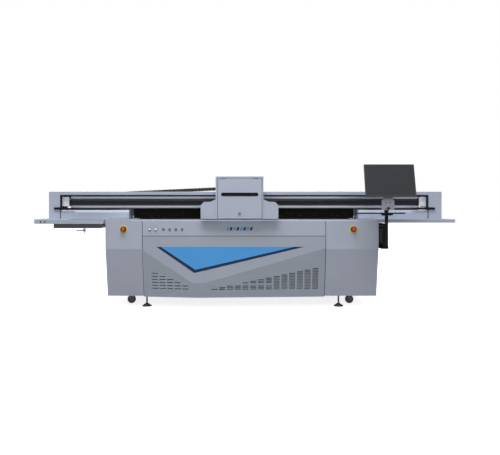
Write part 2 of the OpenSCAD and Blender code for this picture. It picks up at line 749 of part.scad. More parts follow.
// Small ink tanks above the heads, with heating block
module sub_tanks() color([0.82, 0.82, 0.84]) placed() {
    block([car_x - 200, 190, 1180], [car_x + 200, 204.8, 1330]);
    for (i = [0 : 5]) translate([car_x - 190 + 64 * i, 110, 1190]) {
        cube([50, 80, 120]);
        translate([25, 40, 120]) cylinder(r = 12, h = 20);
    }
}

// Outer shell of the carriage; its upper part reaches back over the beam
module carriage_shell() color([0.66, 0.69, 0.76]) placed() {
    rear = 400;
    step_z = 1384;
    difference() {
        union() {
            block([car_l, car_y0 + 4, car_low], [car_r, car_yb - 2, car_top]);
            block([car_l, car_yb - 2, step_z], [car_r, rear, car_top]);
        }
        block([car_l + sheet, car_y0 + 8, car_low - 1], [car_r - sheet, car_yb - 1, car_top - sheet]);
        block([car_l + sheet, car_yb - 3, step_z + sheet], [car_r - sheet, rear - sheet, car_top - sheet]);
        block([car_l + 24, car_y0, car_low - 1], [car_r - 18, car_y0 + 9, car_top - 20]);
    }
}

// Hinged front cover with a long rounded grip slot and the seat of the lock
module carriage_cover() color([0.66, 0.69, 0.76]) placed() {
    x0 = car_l + 25;
    x1 = car_r - 19;
    slot_x0 = car_l + 61;
    slot_x1 = car_r - 57;
    slot_z = 1315;
    slot_r = 21;
    difference() {
        block([x0, car_y0, car_low + 4], [x1, car_y0 + 18, car_top - 22]);
        block([x0 + 2, car_y0 + 14, car_low + 6], [x1 - 2, car_y0 + 19, car_top - 24]);
        block([slot_x0 + slot_r, car_y0 - 1, slot_z - slot_r],
              [slot_x1 - slot_r, car_y0 + 11, slot_z + slot_r]);
        for (x = [slot_x0 + slot_r, slot_x1 - slot_r]) rod_y(x, slot_z, car_y0 - 1, car_y0 + 11, slot_r);
        rod_y(car_x, 1099, car_y0 - 1, car_y0 + 20, 9.05);
    }
}

// Turning lock in the front cover
module cam_lock() color("silver") placed() {
    rod_y(car_x, 1099, car_y0 - 6, car_y0 - 0.3, 18);
    rod_y(car_x, 1099, car_y0 - 0.3, car_y0 + 22, 9);
    block([car_x - 8, car_y0 + 18.5, 1091], [car_x + 8, car_y0 + 22, 1124]);
}

// Lamp housings that flank the carriage, open below over their UV lamps
module lamp_housings() color([0.64, 0.67, 0.74]) placed() for (side = [-1, 1])
    translate([car_x, 0, 0]) {
        half = car_w / 2 + 0.3;
        out = half + lamp_w;
        flat_x = half + 60;
        pts = [
            [side * half, car_low], [side * half, 1258], [side * flat_x, 1232],
            [side * (out - 36), 1229], [side * out, 1192], [side * out, car_low]
        ];
        difference() {
            along_y(car_y0 + 12, 200, pts);
            block([side > 0 ? half + 4 : -out + 3, car_y0 + 15, car_low - 1],
                  [side > 0 ? out - 3 : -half - 4, 197, 1185]);
        }
        block([side > 0 ? half + 20 : -out + 20, 0, car_low + 12],
              [side > 0 ? out - 20 : -half - 20, 120, 1184.9]);
    }

base_frame();
side_front_covers();
control_strip();
prow_panel();
side_panels();
rear_panel();
side_decks();
vacuum_table();
table_edge_bars();
y_rails();
electrical_box();
vacuum_blower();
ink_tanks();
switch_bodies();
monitor_post();
pc_case();
rear_caster_forks();
levelling_feet();
caster_fork_left();
caster_fork_right();
wheel_front_left();
wheel_front_right();
wheel_rear_left();
wheel_rear_right();
button_1();
button_2();
button_3();
button_4();
estop_left();
estop_right();
keyboard_tray();
swivel_arm();
monitor_shell();
gantry_beam();
gantry_top_cover();
gantry_end_blocks();
gantry_side_covers();
gantry_legs();
gantry_wings();
x_rails();
x_belt();
drive_pulley();
idler_pulley();
belt_end_mounts();
waste_tray();
drain_valve();
drain_lever();
cap_station();
uv_curtain();
chain_tray();
cable_chain();
chain_bend();
x_slider();
carriage_frame();
print_heads();
sub_tanks();
carriage_shell();
carriage_cover();
cam_lock();
lamp_housings();
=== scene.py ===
"""Looks of a flatbed UV printer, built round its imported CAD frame.

Places are given in machine millimetres: Y = 0 is the cabinet's front face. at() turns them
into the frame's metres.
"""
import json
import math

import bmesh
import bpy
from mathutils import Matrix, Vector

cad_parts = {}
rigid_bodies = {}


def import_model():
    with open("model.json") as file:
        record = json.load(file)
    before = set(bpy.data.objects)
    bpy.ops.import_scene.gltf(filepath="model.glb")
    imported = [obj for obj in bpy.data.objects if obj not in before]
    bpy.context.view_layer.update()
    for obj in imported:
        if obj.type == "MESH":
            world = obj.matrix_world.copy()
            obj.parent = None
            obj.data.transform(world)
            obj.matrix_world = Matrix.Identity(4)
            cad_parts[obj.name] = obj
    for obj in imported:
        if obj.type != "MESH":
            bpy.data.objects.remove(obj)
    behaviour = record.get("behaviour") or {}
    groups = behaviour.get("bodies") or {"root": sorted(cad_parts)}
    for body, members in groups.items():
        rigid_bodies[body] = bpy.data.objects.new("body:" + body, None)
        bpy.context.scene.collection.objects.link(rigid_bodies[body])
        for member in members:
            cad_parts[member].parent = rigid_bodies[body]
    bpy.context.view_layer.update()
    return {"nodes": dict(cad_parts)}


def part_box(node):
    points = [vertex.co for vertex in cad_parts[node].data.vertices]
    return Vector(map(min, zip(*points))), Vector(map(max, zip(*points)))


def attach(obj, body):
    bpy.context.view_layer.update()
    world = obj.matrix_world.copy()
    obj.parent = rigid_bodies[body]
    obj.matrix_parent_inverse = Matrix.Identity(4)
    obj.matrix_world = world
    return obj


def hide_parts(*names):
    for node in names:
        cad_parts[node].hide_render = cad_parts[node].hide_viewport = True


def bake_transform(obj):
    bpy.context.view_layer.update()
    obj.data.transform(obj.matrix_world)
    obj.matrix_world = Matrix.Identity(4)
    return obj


MM = 0.001
FRONT_Y = -840                      # the cabinet's front face in the frame
ROUND = 24                          # sides of a small round part
SHARP = math.radians(32)            # edges sharper than this stay crisp

# Cabinet
SWITCH_Z = 914
KINK_Z = 686                        # fold of the front covers
LEAN = 115                          # how far the covers lean back below the fold
LAMPS_X = (-1095, -1025)
BUTTONS_X = (-935, -863, -791, -720)
STOPS_X = {"left": -1395, "right": 1253}
TABLE_PITCH = 103                   # grid of grooves in the table
# Gantry
END_FACES = ((-2339, -1), (2353, 1))      # outer faces of the end blocks and their directions
CHAIN_Y = (550, 623)
CHAIN_H = 40
LINK = 45
HOSES = ((14, 4, 6), (30, -4, 7.5), (46, 5, 5), (60, -2, 5))   # across, up, radius in the chain
# Monitor
MONITOR_ORIGIN = (1600, -283, 1466)
MONITOR_TILT = math.radians(-16)

# The empty file's own cube, lamp and camera go first
for leftover in list(bpy.data.objects):
    bpy.data.objects.remove(leftover)
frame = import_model()


def at(x, y, z):
    """A machine point in the frame, in metres."""
    return Vector((x, y + FRONT_Y, z)) * MM


def extent(node):
    """Low and high corner of a CAD node in machine millimetres."""
    lo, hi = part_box(node)
    shift = Vector((0, FRONT_Y, 0))
    return lo / MM - shift, hi / MM - shift


# ---------- camera, light and floor ----------

def make_camera():
    """Level camera 6.5 m in front of the cabinet, at the height of the gantry."""
    data = bpy.data.cameras.new("camera")
    data.sensor_width = 36
    data.lens = 40.68
    data.shift_x, data.shift_y = 0.0106, -0.045
    camera = bpy.data.objects.new("camera", data)
    camera.location = at(0, -6500, 1195)
    camera.rotation_euler = (math.radians(90), 0, 0)
    bpy.context.scene.collection.objects.link(camera)
    bpy.context.scene.camera = camera


def area_light(name, place, target, size, watts):
    """Rectangular soft light at place, turned to target; metres."""
    data = bpy.data.lights.new(name, "AREA")
    data.shape = "RECTANGLE"
    data.size, data.size_y = size
    data.energy = watts
    light = bpy.data.objects.new(name, data)
    light.location = place
    light.rotation_euler = (Vector(target) - Vector(place)).to_track_quat("-Z", "Y").to_euler()
    bpy.context.scene.collection.objects.link(light)


def make_world():
    """White all round for the camera; for the object, light from above and little from below."""
    world = bpy.data.worlds.new("studio")
    world.use_nodes = True
    nodes, links = world.node_tree.nodes, world.node_tree.links
    up = nodes.new("ShaderNodeSeparateXYZ")
    links.new(nodes.new("ShaderNodeTexCoord").outputs["Generated"], up.inputs["Vector"])
    fade = nodes.new("ShaderNodeMapRange")
    for key, number in (("From Min", -0.15), ("From Max", 0.5), ("To Min", 0.10),
                        ("To Max", 0.62)):
        fade.inputs[key].default_value = number
    links.new(up.outputs["Z"], fade.inputs["Value"])
    sky = nodes["Background"]
    links.new(fade.outputs["Result"], sky.inputs["Strength"])
    backdrop = nodes.new("ShaderNodeBackground")
    pick = nodes.new("ShaderNodeMixShader")
    links.new(nodes.new("ShaderNodeLightPath").outputs["Is Camera Ray"], pick.inputs["Fac"])
    for source, target in ((sky, 1), (backdrop, 2)):
        source.inputs["Color"].default_value = (1, 1, 1, 1)
        links.new(source.outputs["Background"], pick.inputs[target])
    links.new(pick.outputs["Shader"], nodes["World Output"].inputs["Surface"])
    bpy.context.scene.world = world


def make_studio():
    """Soft light from above, in front and behind, over a wide pale floor."""
    bpy.context.scene.view_settings.view_transform = "Standard"
    make_world()
    area_light("key", (-0.8, -3.4, 7.6), (0, -0.3, 0.8), (6, 2.4), 480)
    area_light("front", (0.5, -8.5, 2.6), (0, -0.3, 0.9), (7, 2), 80)
    area_light("back", (0, 7, 5), (0, 0.8, 0.8), (6, 3), 260)

    floor = bpy.data.meshes.new("floor")
    half = 30
    corners = [(-half, -half, 0), (half, -half, 0), (half, half, 0), (-half, half, 0)]
    floor.from_pydata(corners, [], [(0, 1, 2, 3)])
    slab = bpy.data.objects.new("floor", floor)
    bpy.context.scene.collection.objects.link(slab)
    slab.data.materials.append(floor_finish())
    slab.visible_diffuse = False


# ---------- materials ----------

def linear(rgb):
    """sRGB 0-255 to the linear colour that a shader takes."""
    return [((c / 255 + 0.055) / 1.055) ** 2.4 if c > 10 else c / 255 / 12.92 for c in rgb]


class Finish:
    """One procedural material: links layers of noise to colour, roughness and bump."""

    def __init__(self, name, rgb, metallic=0.0, coat=0.0, specular=0.5):
        self.material = bpy.data.materials.new(name)
        self.material.use_nodes = True
        self.nodes = self.material.node_tree.nodes
        self.shader = self.nodes["Principled BSDF"]
        self.shader.inputs["Metallic"].default_value = metallic
        self.shader.inputs["Coat Weight"].default_value = coat
        self.shader.inputs["Coat Roughness"].default_value = 0.12
        self.shader.inputs["Specular IOR Level"].default_value = specular
        self.shader.inputs["Base Color"].default_value = (*linear(rgb), 1)
        self.shader.inputs["Roughness"].default_value = 0.5
        self.colour = linear(rgb)
        self.coord = self.nodes.new("ShaderNodeTexCoord").outputs["Object"]
        self.bumps = None

    def link(self, a, b):
        """Joins socket a to socket b."""
        self.material.node_tree.links.new(a, b)

    def stretched(self, stretch):
        """Object coordinates scaled along each axis."""
        node = self.nodes.new("ShaderNodeMapping")
        node.inputs["Scale"].default_value = stretch
        self.link(self.coord, node.inputs["Vector"])
        return node.outputs["Vector"]

    def noise(self, scale, detail=4, stretch=(1, 1, 1)):
        node = self.nodes.new("ShaderNodeTexNoise")
        node.inputs["Scale"].default_value = scale
        node.inputs["Detail"].default_value = detail
        node.inputs["Roughness"].default_value = 0.6
        self.link(self.stretched(stretch), node.inputs["Vector"])
        return node.outputs["Fac"]

    def cells(self, scale):
        node = self.nodes.new("ShaderNodeTexVoronoi")
        node.inputs["Scale"].default_value = scale
        self.link(self.coord, node.inputs["Vector"])
        return node.outputs["Distance"]

    def remap(self, value, lo, hi, out_lo, out_hi):
        """Carries the range lo to hi over to out_lo to out_hi."""
        node = self.nodes.new("ShaderNodeMapRange")
        for key, number in (("From Min", lo), ("From Max", hi), ("To Min", out_lo),
                            ("To Max", out_hi)):
            node.inputs[key].default_value = number
        self.link(value, node.inputs["Value"])
        return node.outputs["Result"]

    def tint(self, value, lo, hi, rgb, amount):
        """Blends the colour so far towards rgb where value passes from lo to hi."""
        mix = self.nodes.new("ShaderNodeMix")
        mix.data_type = "RGBA"
        base = self.shader.inputs["Base Color"]
        if base.is_linked:
            self.link(base.links[0].from_socket, mix.inputs["A"])
        else:
            mix.inputs["A"].default_value = (*self.colour, 1)
        mix.inputs["B"].default_value = (*linear(rgb), 1)
        self.link(self.remap(value, lo, hi, 0, amount), mix.inputs["Factor"])
        self.link(mix.outputs["Result"], base)
        return self

    def mottle(self, scale, amount, stretch=(1, 1, 1)):
        """Slow light and dark change over the surface."""
        value = self.noise(scale, 5, stretch)
        self.tint(value, 0.35, 0.7, [255 * (c * (1 + amount)) ** (1 / 2.2) if c > 0 else 0
                                     for c in self.colour], 1)
        return self

    def gloss(self, scale, lo, hi, stretch=(1, 1, 1)):
        """Roughness that wanders between lo and hi."""
        self.link(self.remap(self.noise(scale, 4, stretch), 0.3, 0.7, lo, hi),
                  self.shader.inputs["Roughness"])
        return self

    def bump(self, height, strength, depth_mm):
        """Adds a fine relief over those already there."""
        node = self.nodes.new("ShaderNodeBump")
        node.inputs["Strength"].default_value = strength
        node.inputs["Distance"].default_value = depth_mm * MM
        self.link(height, node.inputs["Height"])
        if self.bumps:
            self.link(self.bumps, node.inputs["Normal"])
        self.bumps = node.outputs["Normal"]
        self.link(self.bumps, self.shader.inputs["Normal"])
        return self


def floor_finish():
    """Matt white floor that glows a little, so that it stays as pale as the backdrop."""
    f = Finish("floor_pale", (250, 250, 250), specular=0.1)
    f.gloss(2, 0.85, 0.95)
    f.bump(f.noise(40), 0.02, 1)
    f.shader.inputs["Emission Color"].default_value = (1, 1, 1, 1)
    f.shader.inputs["Emission Strength"].default_value = 0.8
    return f.material


def powder_coat(name, rgb, rough=(0.36, 0.48), coat=0.12, specular=0.5):
    """Baked paint on sheet steel: orange peel, slow tone change, fine flake and faint smears."""
    f = Finish(name, rgb, coat=coat, specular=specular)
    f.mottle(1.6, -0.05)
    f.tint(f.cells(900), 0.0, 0.25, [min(255, c + 24) for c in rgb], 0.10)
    f.tint(f.noise(7, 6, (1, 1, 5)), 0.56, 0.74, [c * 0.86 for c in rgb], 0.22)
    f.gloss(3.5, *rough, (1, 1, 2.5))
    f.bump(f.noise(620, 2), 0.10, 0.25)
    f.bump(f.noise(2.2, 2), 0.12, 1.2)
    return f.material


def brushed_metal(name, rgb, rough=(0.24, 0.4), stretch=(0.02, 1, 1), peel=0.12, metallic=1,
                  streaks=0.5):
    """Drawn or ground metal with fine streaks along the short axis of stretch."""
    f = Finish(name, rgb, metallic=metallic)
    f.mottle(5, -0.10)
    f.tint(f.noise(900, 3, stretch), 0.45, 0.75, [min(255, c * 1.12) for c in rgb], streaks)
    f.gloss(300, *rough, stretch)
    f.bump(f.noise(900, 3, stretch), peel, 0.12)
    return f.material


def cast_metal(name, rgb, rough=(0.5, 0.68), metallic=0.6):
    """Rough cast or blackened metal with fine pits."""
    f = Finish(name, rgb, metallic=metallic)
    f.mottle(14, -0.12)
    f.tint(f.cells(260), 0.0, 0.2, [c * 0.75 for c in rgb], 0.35)
    f.gloss(40, *rough)
    f.bump(f.noise(420, 5), 0.35, 0.4)
    return f.material


def moulded_plastic(name, rgb, rough=(0.38, 0.52), grain=1400):
    """Injection-moulded plastic with a spark-eroded grain."""
    f = Finish(name, rgb, coat=0.03)
    f.mottle(9, -0.06)
    f.tint(f.noise(60, 6), 0.6, 0.8, [min(255, c + 26) for c in rgb], 0.12)
    f.gloss(22, *rough)
    f.bump(f.cells(grain), 0.22, 0.12)
    return f.material


def soft_rubber(name, rgb):
    """Matt rubber with pale bloom in patches."""
    f = Finish(name, rgb, specular=0.3)
    f.mottle(24, 0.25)
    f.tint(f.noise(130, 5), 0.62, 0.8, [c + 34 for c in rgb], 0.3)
    f.gloss(35, 0.6, 0.82)
    f.bump(f.noise(1500, 3), 0.3, 0.15)
    return f.material


def table_plate(name, rgb):
    """Hard-anodised plate: fine grain, long light scratches from boards that slid over it."""
    f = Finish(name, rgb, specular=0.12)
    f.mottle(2.5, 0.35)
    f.tint(f.noise(70, 2, (0.03, 1, 1)), 0.66, 0.72, [c + 40 for c in rgb], 0.35)
    f.tint(f.noise(60, 2, (1, 0.04, 1)), 0.68, 0.74, [c + 34 for c in rgb], 0.3)
    f.gloss(6, 0.75, 0.9)
    f.bump(f.noise(1100, 2), 0.15, 0.1)
    return f.material


def dark_glass(name, rgb):
    """Coated screen: near black with a soft haze and the faint dots of its pixels."""
    f = Finish(name, rgb, coat=0.2, specular=0.3)
    f.mottle(3, 0.06)
    f.tint(f.cells(1800), 0.3, 0.6, [c + 6 for c in rgb], 0.15)
    f.gloss(5, 0.3, 0.36)
    f.bump(f.noise(900, 1), 0.02, 0.03)
    return f.material


def lit_lens(name, rgb):
    """Faceted lens of a signal lamp, faintly lit from within."""
    f = Finish(name, rgb, coat=0.5)
    f.mottle(60, -0.1)
    f.gloss(80, 0.12, 0.22)
    f.bump(f.cells(700), 0.3, 0.3)
    f.shader.inputs["Emission Color"].default_value = (*linear(rgb), 1)
    f.shader.inputs["Emission Strength"].default_value = 0.22
    return f.material


def vinyl_film(name, rgb):
    """Printed film on the paint, a little glossier than it, with the paint's orange peel below."""
    f = Finish(name, rgb, coat=0.03, specular=0.15)
    f.mottle(1.2, -0.03)
    f.tint(f.noise(160, 5), 0.6, 0.8, [min(255, c + 10) for c in rgb], 0.12)
    f.gloss(5, 0.32, 0.38)
    f.bump(f.noise(620, 2), 0.05, 0.2)
    return f.material


FINISHES = {
    "frame_steel": powder_coat("frame_steel", (72, 76, 84), (0.45, 0.6)),
    "cover_paint": powder_coat("cover_paint", (172, 179, 196)),
    "gantry_paint": powder_coat("gantry_paint", (171, 179, 196)),
    "carriage_paint": powder_coat("carriage_paint", (177, 185, 204)),
    # prow_paint is cover_paint made darker: painted shade for the prow panel's faces, which lean
    # back and face downward.
    "prow_paint": powder_coat("prow_paint", (160, 168, 183)),
    "table_black": table_plate("table_black", (15, 15, 17)),
    "bare_aluminium": brushed_metal("bare_aluminium", (178, 181, 198), (0.42, 0.52), peel=0.04,
                                    metallic=0.5, streaks=0.2),
    "rail_steel": brushed_metal("rail_steel", (190, 192, 204), (0.36, 0.46), peel=0.03,
                                metallic=0.45, streaks=0.2),
    "box_grey": powder_coat("box_grey", (182, 184, 186)),
    "blower_cast": cast_metal("blower_cast", (92, 116, 140), metallic=0.2),
    "tank_plastic": moulded_plastic("tank_plastic", (222, 223, 220)),
    "switch_metal": brushed_metal("switch_metal", (188, 190, 196), (0.2, 0.34), (1, 1, 0.05)),
    "black_metal": powder_coat("black_metal", (12, 13, 17), (0.5, 0.65), coat=0, specular=0.12),
    "zinc_steel": brushed_metal("zinc_steel", (58, 60, 66), (0.36, 0.5), (1, 1, 0.1), metallic=0.7),
    "dark_steel": cast_metal("dark_steel", (70, 72, 78)),
    "wheel_nylon": moulded_plastic("wheel_nylon", (36, 37, 40), (0.4, 0.6), 900),
    "button_grey": moulded_plastic("button_grey", (128, 134, 146)),
    "stop_red": moulded_plastic("stop_red", (184, 32, 38), (0.3, 0.42)),
    # arm_silver is lighter than the arm's own grey: painted light that offsets the monitor's shadow
    # falling on it.
    "arm_silver": powder_coat("arm_silver", (206, 211, 224), (0.4, 0.5)),
    "monitor_plastic": moulded_plastic("monitor_plastic", (40, 42, 46)),
    "belt_rubber": soft_rubber("belt_rubber", (34, 36, 46)),
    "cap_rubber": soft_rubber("cap_rubber", (44, 45, 50)),
    "curtain_rubber": soft_rubber("curtain_rubber", (16, 16, 19)),
    "chain_plastic": moulded_plastic("chain_plastic", (26, 27, 31), (0.42, 0.6), 900),
    "head_black": cast_metal("head_black", (46, 47, 52)),
}
BLUE = vinyl_film("film_blue", (84, 168, 236))
NAVY = vinyl_film("film_navy", (16, 44, 82))
MOUNTS = brushed_metal("mount_aluminium", (236, 238, 246), (0.4, 0.5), peel=0.04, metallic=0.2,
                       streaks=0.2)
NODE_FINISHES = {"belt_end_mounts": MOUNTS, "cam_lock": FINISHES["button_grey"]}
SCREEN = dark_glass("screen_glass", (42, 45, 50))
LENS = lit_lens("lamp_lens", (218, 223, 238))
YELLOW = moulded_plastic("stop_yellow", (222, 204, 70), (0.3, 0.45))
# Near black: painted shade in screw sockets, key slots, vent slots and a finger pull, and the own
# colour of dark parts such as the mains inlet insert, the stop collars and some screws.
SHADE_AND_DARK_PARTS = cast_metal("recess_shade_and_dark_parts", (24, 26, 31), metallic=0.0)
BRASS = brushed_metal("brass", (196, 164, 96), (0.25, 0.4), (1, 1, 0.1))


# ---------- mesh building ----------

def turns(sides):
    """Even angles of one whole turn."""
    return [2 * math.pi * i / sides for i in range(sides)]


def turned(axis, centre, r, h, t):
    """Point at radius r and angle t round the axis through centre, moved h along it."""
    x, y, z = centre
    u, v = r * math.cos(t), r * math.sin(t)
    return {"x": (x + h, y + u, z + v), "y": (x + u, y + h, z + v),
            "z": (x + u, y + v, z + h)}[axis]


class Mesh:
    """Closed shapes in machine millimetres, collected into one piece."""

    def __init__(self, move=lambda p: p):
        self.bm = bmesh.new()
        self.move = move

    def face(self, verts, slot):
        """One smooth face with its material's number."""
        f = self.bm.faces.new(verts)
        f.material_index = slot
        f.smooth = True
        return f

    def loft(self, rings, slot=0, closed=False):
        """Skins rings of points; the ends are capped unless closed joins last to first."""
        loops = [[self.bm.verts.new(at(*self.move(p))) for p in ring] for ring in rings]
        pairs = list(zip(loops, loops[1:])) + ([(loops[-1], loops[0])] if closed else [])
        for a, b in pairs:
            n = len(a)
            for i in range(n):
                self.face((a[i], a[(i + 1) % n], b[(i + 1) % n], b[i]), slot)
        if not closed:
            self.face(loops[0][::-1], slot)
            self.face(loops[-1], slot)

    def prism(self, axis, a, b, outline, slot=0):
        """Outline in the other two axes, in the order XYZ, drawn out along axis from a to b."""
        def point(u, v, w):
            return {"x": (w, u, v), "y": (u, w, v), "z": (u, v, w)}[axis]
        self.loft([[point(u, v, w) for u, v in outline] for w in (a, b)], slot)

    def block(self, lo, hi, slot=0):
        (x0, y0, z0), (x1, y1, z1) = lo, hi
        self.prism("z", z0, z1, [(x0, y0), (x1, y0), (x1, y1), (x0, y1)], slot)

    def lathe(self, axis, centre, profile, slot=0, sides=ROUND):
        """Turns profile, pairs of radius and height along axis, round centre."""
        self.loft([[turned(axis, centre, r, h, t) for t in turns(sides)] for r, h in profile],
                  slot)

    def screw(self, axis, centre, r, out, slot=0):
        """Button-head screw with a hexagon socket; out is +1 or -1 along axis."""
        lift = 0.62 * r * out
        self.lathe(axis, centre, [(r, -0.4 * out), (r, 0.25 * r * out), (r * 0.86, 0.5 * r * out),
                                  (r * 0.5, lift)], slot, 12)
        # The socket is a flat hexagon in the piece's second material, near black in every caller:
        # painted shade of the hole.
        tip = turned(axis, centre, 0, lift, 0)
        self.lathe(axis, tip, [(r * 0.42, -0.02 * out), (r * 0.42, 0.05 * out)], 1, 6)

    def ring(self, axis, centre, r_out, r_in, a, b, slot=0, sides=ROUND):
        """Flat-sided tube between a and b along axis."""
        self.lathe_closed(axis, centre, [(r_in, a), (r_out, a), (r_out, b), (r_in, b)], slot, sides)

    def lathe_closed(self, axis, centre, profile, slot=0, sides=ROUND):
        """Turns a closed outline, pairs of radius and height, into a ring round centre."""
        self.loft([[turned(axis, centre, r, h, t) for r, h in profile] for t in turns(sides)],
                  slot, closed=True)

    def piece(self, name, body, slot_name, materials, soften=0.0):
        """Makes the object; soften is the width of the rounds on its edges in millimetres."""
        bmesh.ops.recalc_face_normals(self.bm, faces=self.bm.faces)
        data = bpy.data.meshes.new(name)
        self.bm.to_mesh(data)
        self.bm.free()
        data.set_sharp_from_angle(angle=SHARP)
        obj = bpy.data.objects.new(name, data)
        bpy.context.scene.collection.objects.link(obj)
        for material in materials:
            obj.data.materials.append(material)
        if soften:
            bevel(obj, soften)
        if body:
            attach(obj, body)
        return obj


def bevel(obj, width_mm):
    """Small rounds on the sharp edges."""
    b = obj.modifiers.new("edges", "BEVEL")
    b.width = width_mm * MM
    b.segments = 2
    b.limit_method = "ANGLE"
    b.angle_limit = SHARP
    b.harden_normals = True


def circle(u, v, r, sides=ROUND, start=0):
    """Points round (u, v), the first one at start degrees."""
    turns = [math.radians(start + 360 * i / sides) for i in range(sides)]
    return [(u + r * math.cos(t), v + r * math.sin(t)) for t in turns]


def stadium(u0, u1, v, r, steps=10):
    """Long rounded outline from u0 to u1 about v."""
    points = []
    for cu, start in ((u1 - r, -90), (u0 + r, 90)):
        for i in range(steps + 1):
            t = math.radians(start + 180 * i / steps)
            points.append((cu + r * math.cos(t), v + r * math.sin(t)))
    return points


# ---------- CAD nodes: finish and softened edges ----------

BEVELS = {node: width for width, nodes in {
    0.6: "vacuum_table",
    0.8: "switch_bodies button_1 button_2 button_3 button_4",
    1.0: "keyboard_tray waste_tray print_heads levelling_feet y_rails x_rails drain_valve "
         "cam_lock chain_tray",
    1.2: "prow_panel side_panels rear_panel table_edge_bars gantry_side_covers carriage_frame "
         "belt_end_mounts caster_fork_left caster_fork_right rear_caster_forks drain_lever",
    1.4: "side_front_covers control_strip side_decks gantry_top_cover gantry_end_blocks "
         "gantry_wings carriage_shell lamp_housings",
    1.5: "x_slider swivel_arm monitor_post cap_station",
    2.0: "carriage_cover base_frame gantry_legs electrical_box",
    2.5: "monitor_shell sub_tanks",
    3.0: "pc_case vacuum_blower",
    4.0: "ink_tanks",
}.items() for node in nodes.split()}


def finish_cad_nodes():
    """Gives each CAD node the finish of its slot and rounds its edges."""
    weld_gap, flat_angle = 0.02 * MM, math.radians(0.2)
    for name, node in frame["nodes"].items():
        slot = node.data.materials[0].name.split(".")[0]
        node.data.materials.clear()
        node.data.materials.append(NODE_FINISHES.get(name, FINISHES[slot]))
        if "custom_normal" in node.data.attributes:
            node.data.attributes.remove(node.data.attributes["custom_normal"])
        if name in BEVELS:
            weld = node.modifiers.new("weld", "WELD")
            weld.merge_threshold = weld_gap
            flat = node.modifiers.new("flats", "DECIMATE")
            flat.decimate_type = "DISSOLVE"
            flat.angle_limit = flat_angle
            bevel(node, BEVELS[name])


# ---------- cabinet details ----------

def film_triangle():
    """Coloured film on the flat middle of the folded front, with a dark band on its lower sides."""
    left, low, right, top = -1016, (-580, 412), 686, 714
    inner_left, inner_low, inner_right = -966, (-568, 450), 570
    blue = Mesh()
    blue.prism("y", -0.7, -0.1, [(inner_left, top), inner_low, (inner_right, top)])
    blue.piece("film_blue_triangle", "root", None, [BLUE])
    band = Mesh()
    band.prism("y", -0.7, -0.1, [(left, top), low, inner_low, (inner_left - 0.3, top)])
    band.prism("y", -0.7, -0.1, [low, (right, top), (inner_right + 0.3, top), inner_low])
    band.piece("film_dark_band", "root", None, [NAVY])


def badge():
    """Plain badge: a thin rounded plate with slanted bars."""
    mesh = Mesh()
    z = 921
    mesh.prism("y", -1.2, -0.1, stadium(-222, 104, z, 26))
    for i in range(8):
        x = -214 + 39 * i
        mesh.prism("y", -1.6, -1.1, [(x, z - 19), (x + 25, z - 19), (x + 37, z + 19),
                                     (x + 12, z + 19)], 1 + i % 2)
    mesh.piece("badge", "root", None, [FINISHES["cover_paint"], BLUE, NAVY], 0.2)


def lamp_lenses():
    """Domed lenses of the two signal lamps."""
    for i, x in enumerate(LAMPS_X):
        mesh = Mesh()
        mesh.lathe("y", (x, 0, SWITCH_Z), [(13, -4.1), (13, -7.5), (11.6, -10), (8, -12),
                                           (4, -13), (0.4, -13.3)])
        mesh.piece(f"lamp_lens_{i + 1}", "root", None, [LENS])


def stop_plates():
    """Yellow plates round the emergency stops, each with a dark collar and four rivets."""
    for name, x in STOPS_X.items():
        mesh = Mesh()
        mesh.lathe_closed("y", (x, 0, SWITCH_Z),
                          [(17.3, -0.1), (46.4, -0.1), (46.4, -2.6), (45, -3.6), (24, -3.6),
                           (23, -3.3), (17.3, -3.3)], 0, 48)
        mesh.lathe_closed("y", (x, 0, SWITCH_Z),
                          [(17.3, -3.4), (36, -3.4), (36, -5.6), (34, -7), (17.3, -8)], 1, 48)
        for px, pz in circle(x, SWITCH_Z, 41, 4, 45):
            mesh.lathe("y", (px, 0, pz), [(2.4, -3.4), (2.4, -4.6), (1.2, -5)], 2, 12)
        mesh.piece(f"stop_plate_{name}", "root", None, [YELLOW, SHADE_AND_DARK_PARTS, FINISHES["button_grey"]])


def button_rings():
    """Dark rings round the push buttons and thin ones round the signal lamps."""
    mesh = Mesh()
    for x in BUTTONS_X:
        mesh.lathe_closed("y", (x, 0, SWITCH_Z), [(9.4, -4.1), (14.8, -4.1), (14.8, -5), (13.6, -6),
                                                  (9.4, -6)], 0, 32)
    for x in LAMPS_X:
        mesh.lathe_closed("y", (x, 0, SWITCH_Z), [(13.2, -4.1), (17, -4.1), (17, -6), (15.5, -7),
                                                  (13.2, -7)], 0, 32)
    mesh.piece("button_rings", "root", None, [FINISHES["dark_steel"]], 0.3)


def seam_strips():
    """Dark rubber in the joints between the cabinet's front sheets."""
    lo, hi = extent("control_strip")
    low = extent("side_front_covers")[0].z + 2
    mesh = Mesh()
    for x in (lo.x - 4, hi.x - 2):
        mesh.prism("x", x, x + 6, [(-0.5, hi.z - 1), (-0.5, KINK_Z), (LEAN - 0.5, low),
                                   (LEAN + 0.6, low), (0.6, KINK_Z), (0.6, hi.z - 1)])
    mesh.block((lo.x, -0.4, lo.z - 5), (hi.x, 0.4, lo.z))
    mesh.piece("front_seams", "root", "curtain_rubber", [FINISHES["curtain_rubber"]])


def louvre_baffles():
    """Slanted baffle sheets behind the louvre slots."""
    mesh = Mesh()
    pitch, rise, run = 18.3, 24, 14
    for x0, x1, y, top in ((-1090, -640, 120, 420), (-400, 870, 124, 475)):
        z = 205
        while z < top:
            mesh.prism("x", x0, x1, [(y, z), (y + 2, z), (y + 2 + run, z + rise),
                                     (y + run, z + rise)])
            z += pitch
    mesh.piece("louvre_baffles", "root", "dark_steel", [FINISHES["prow_paint"]])


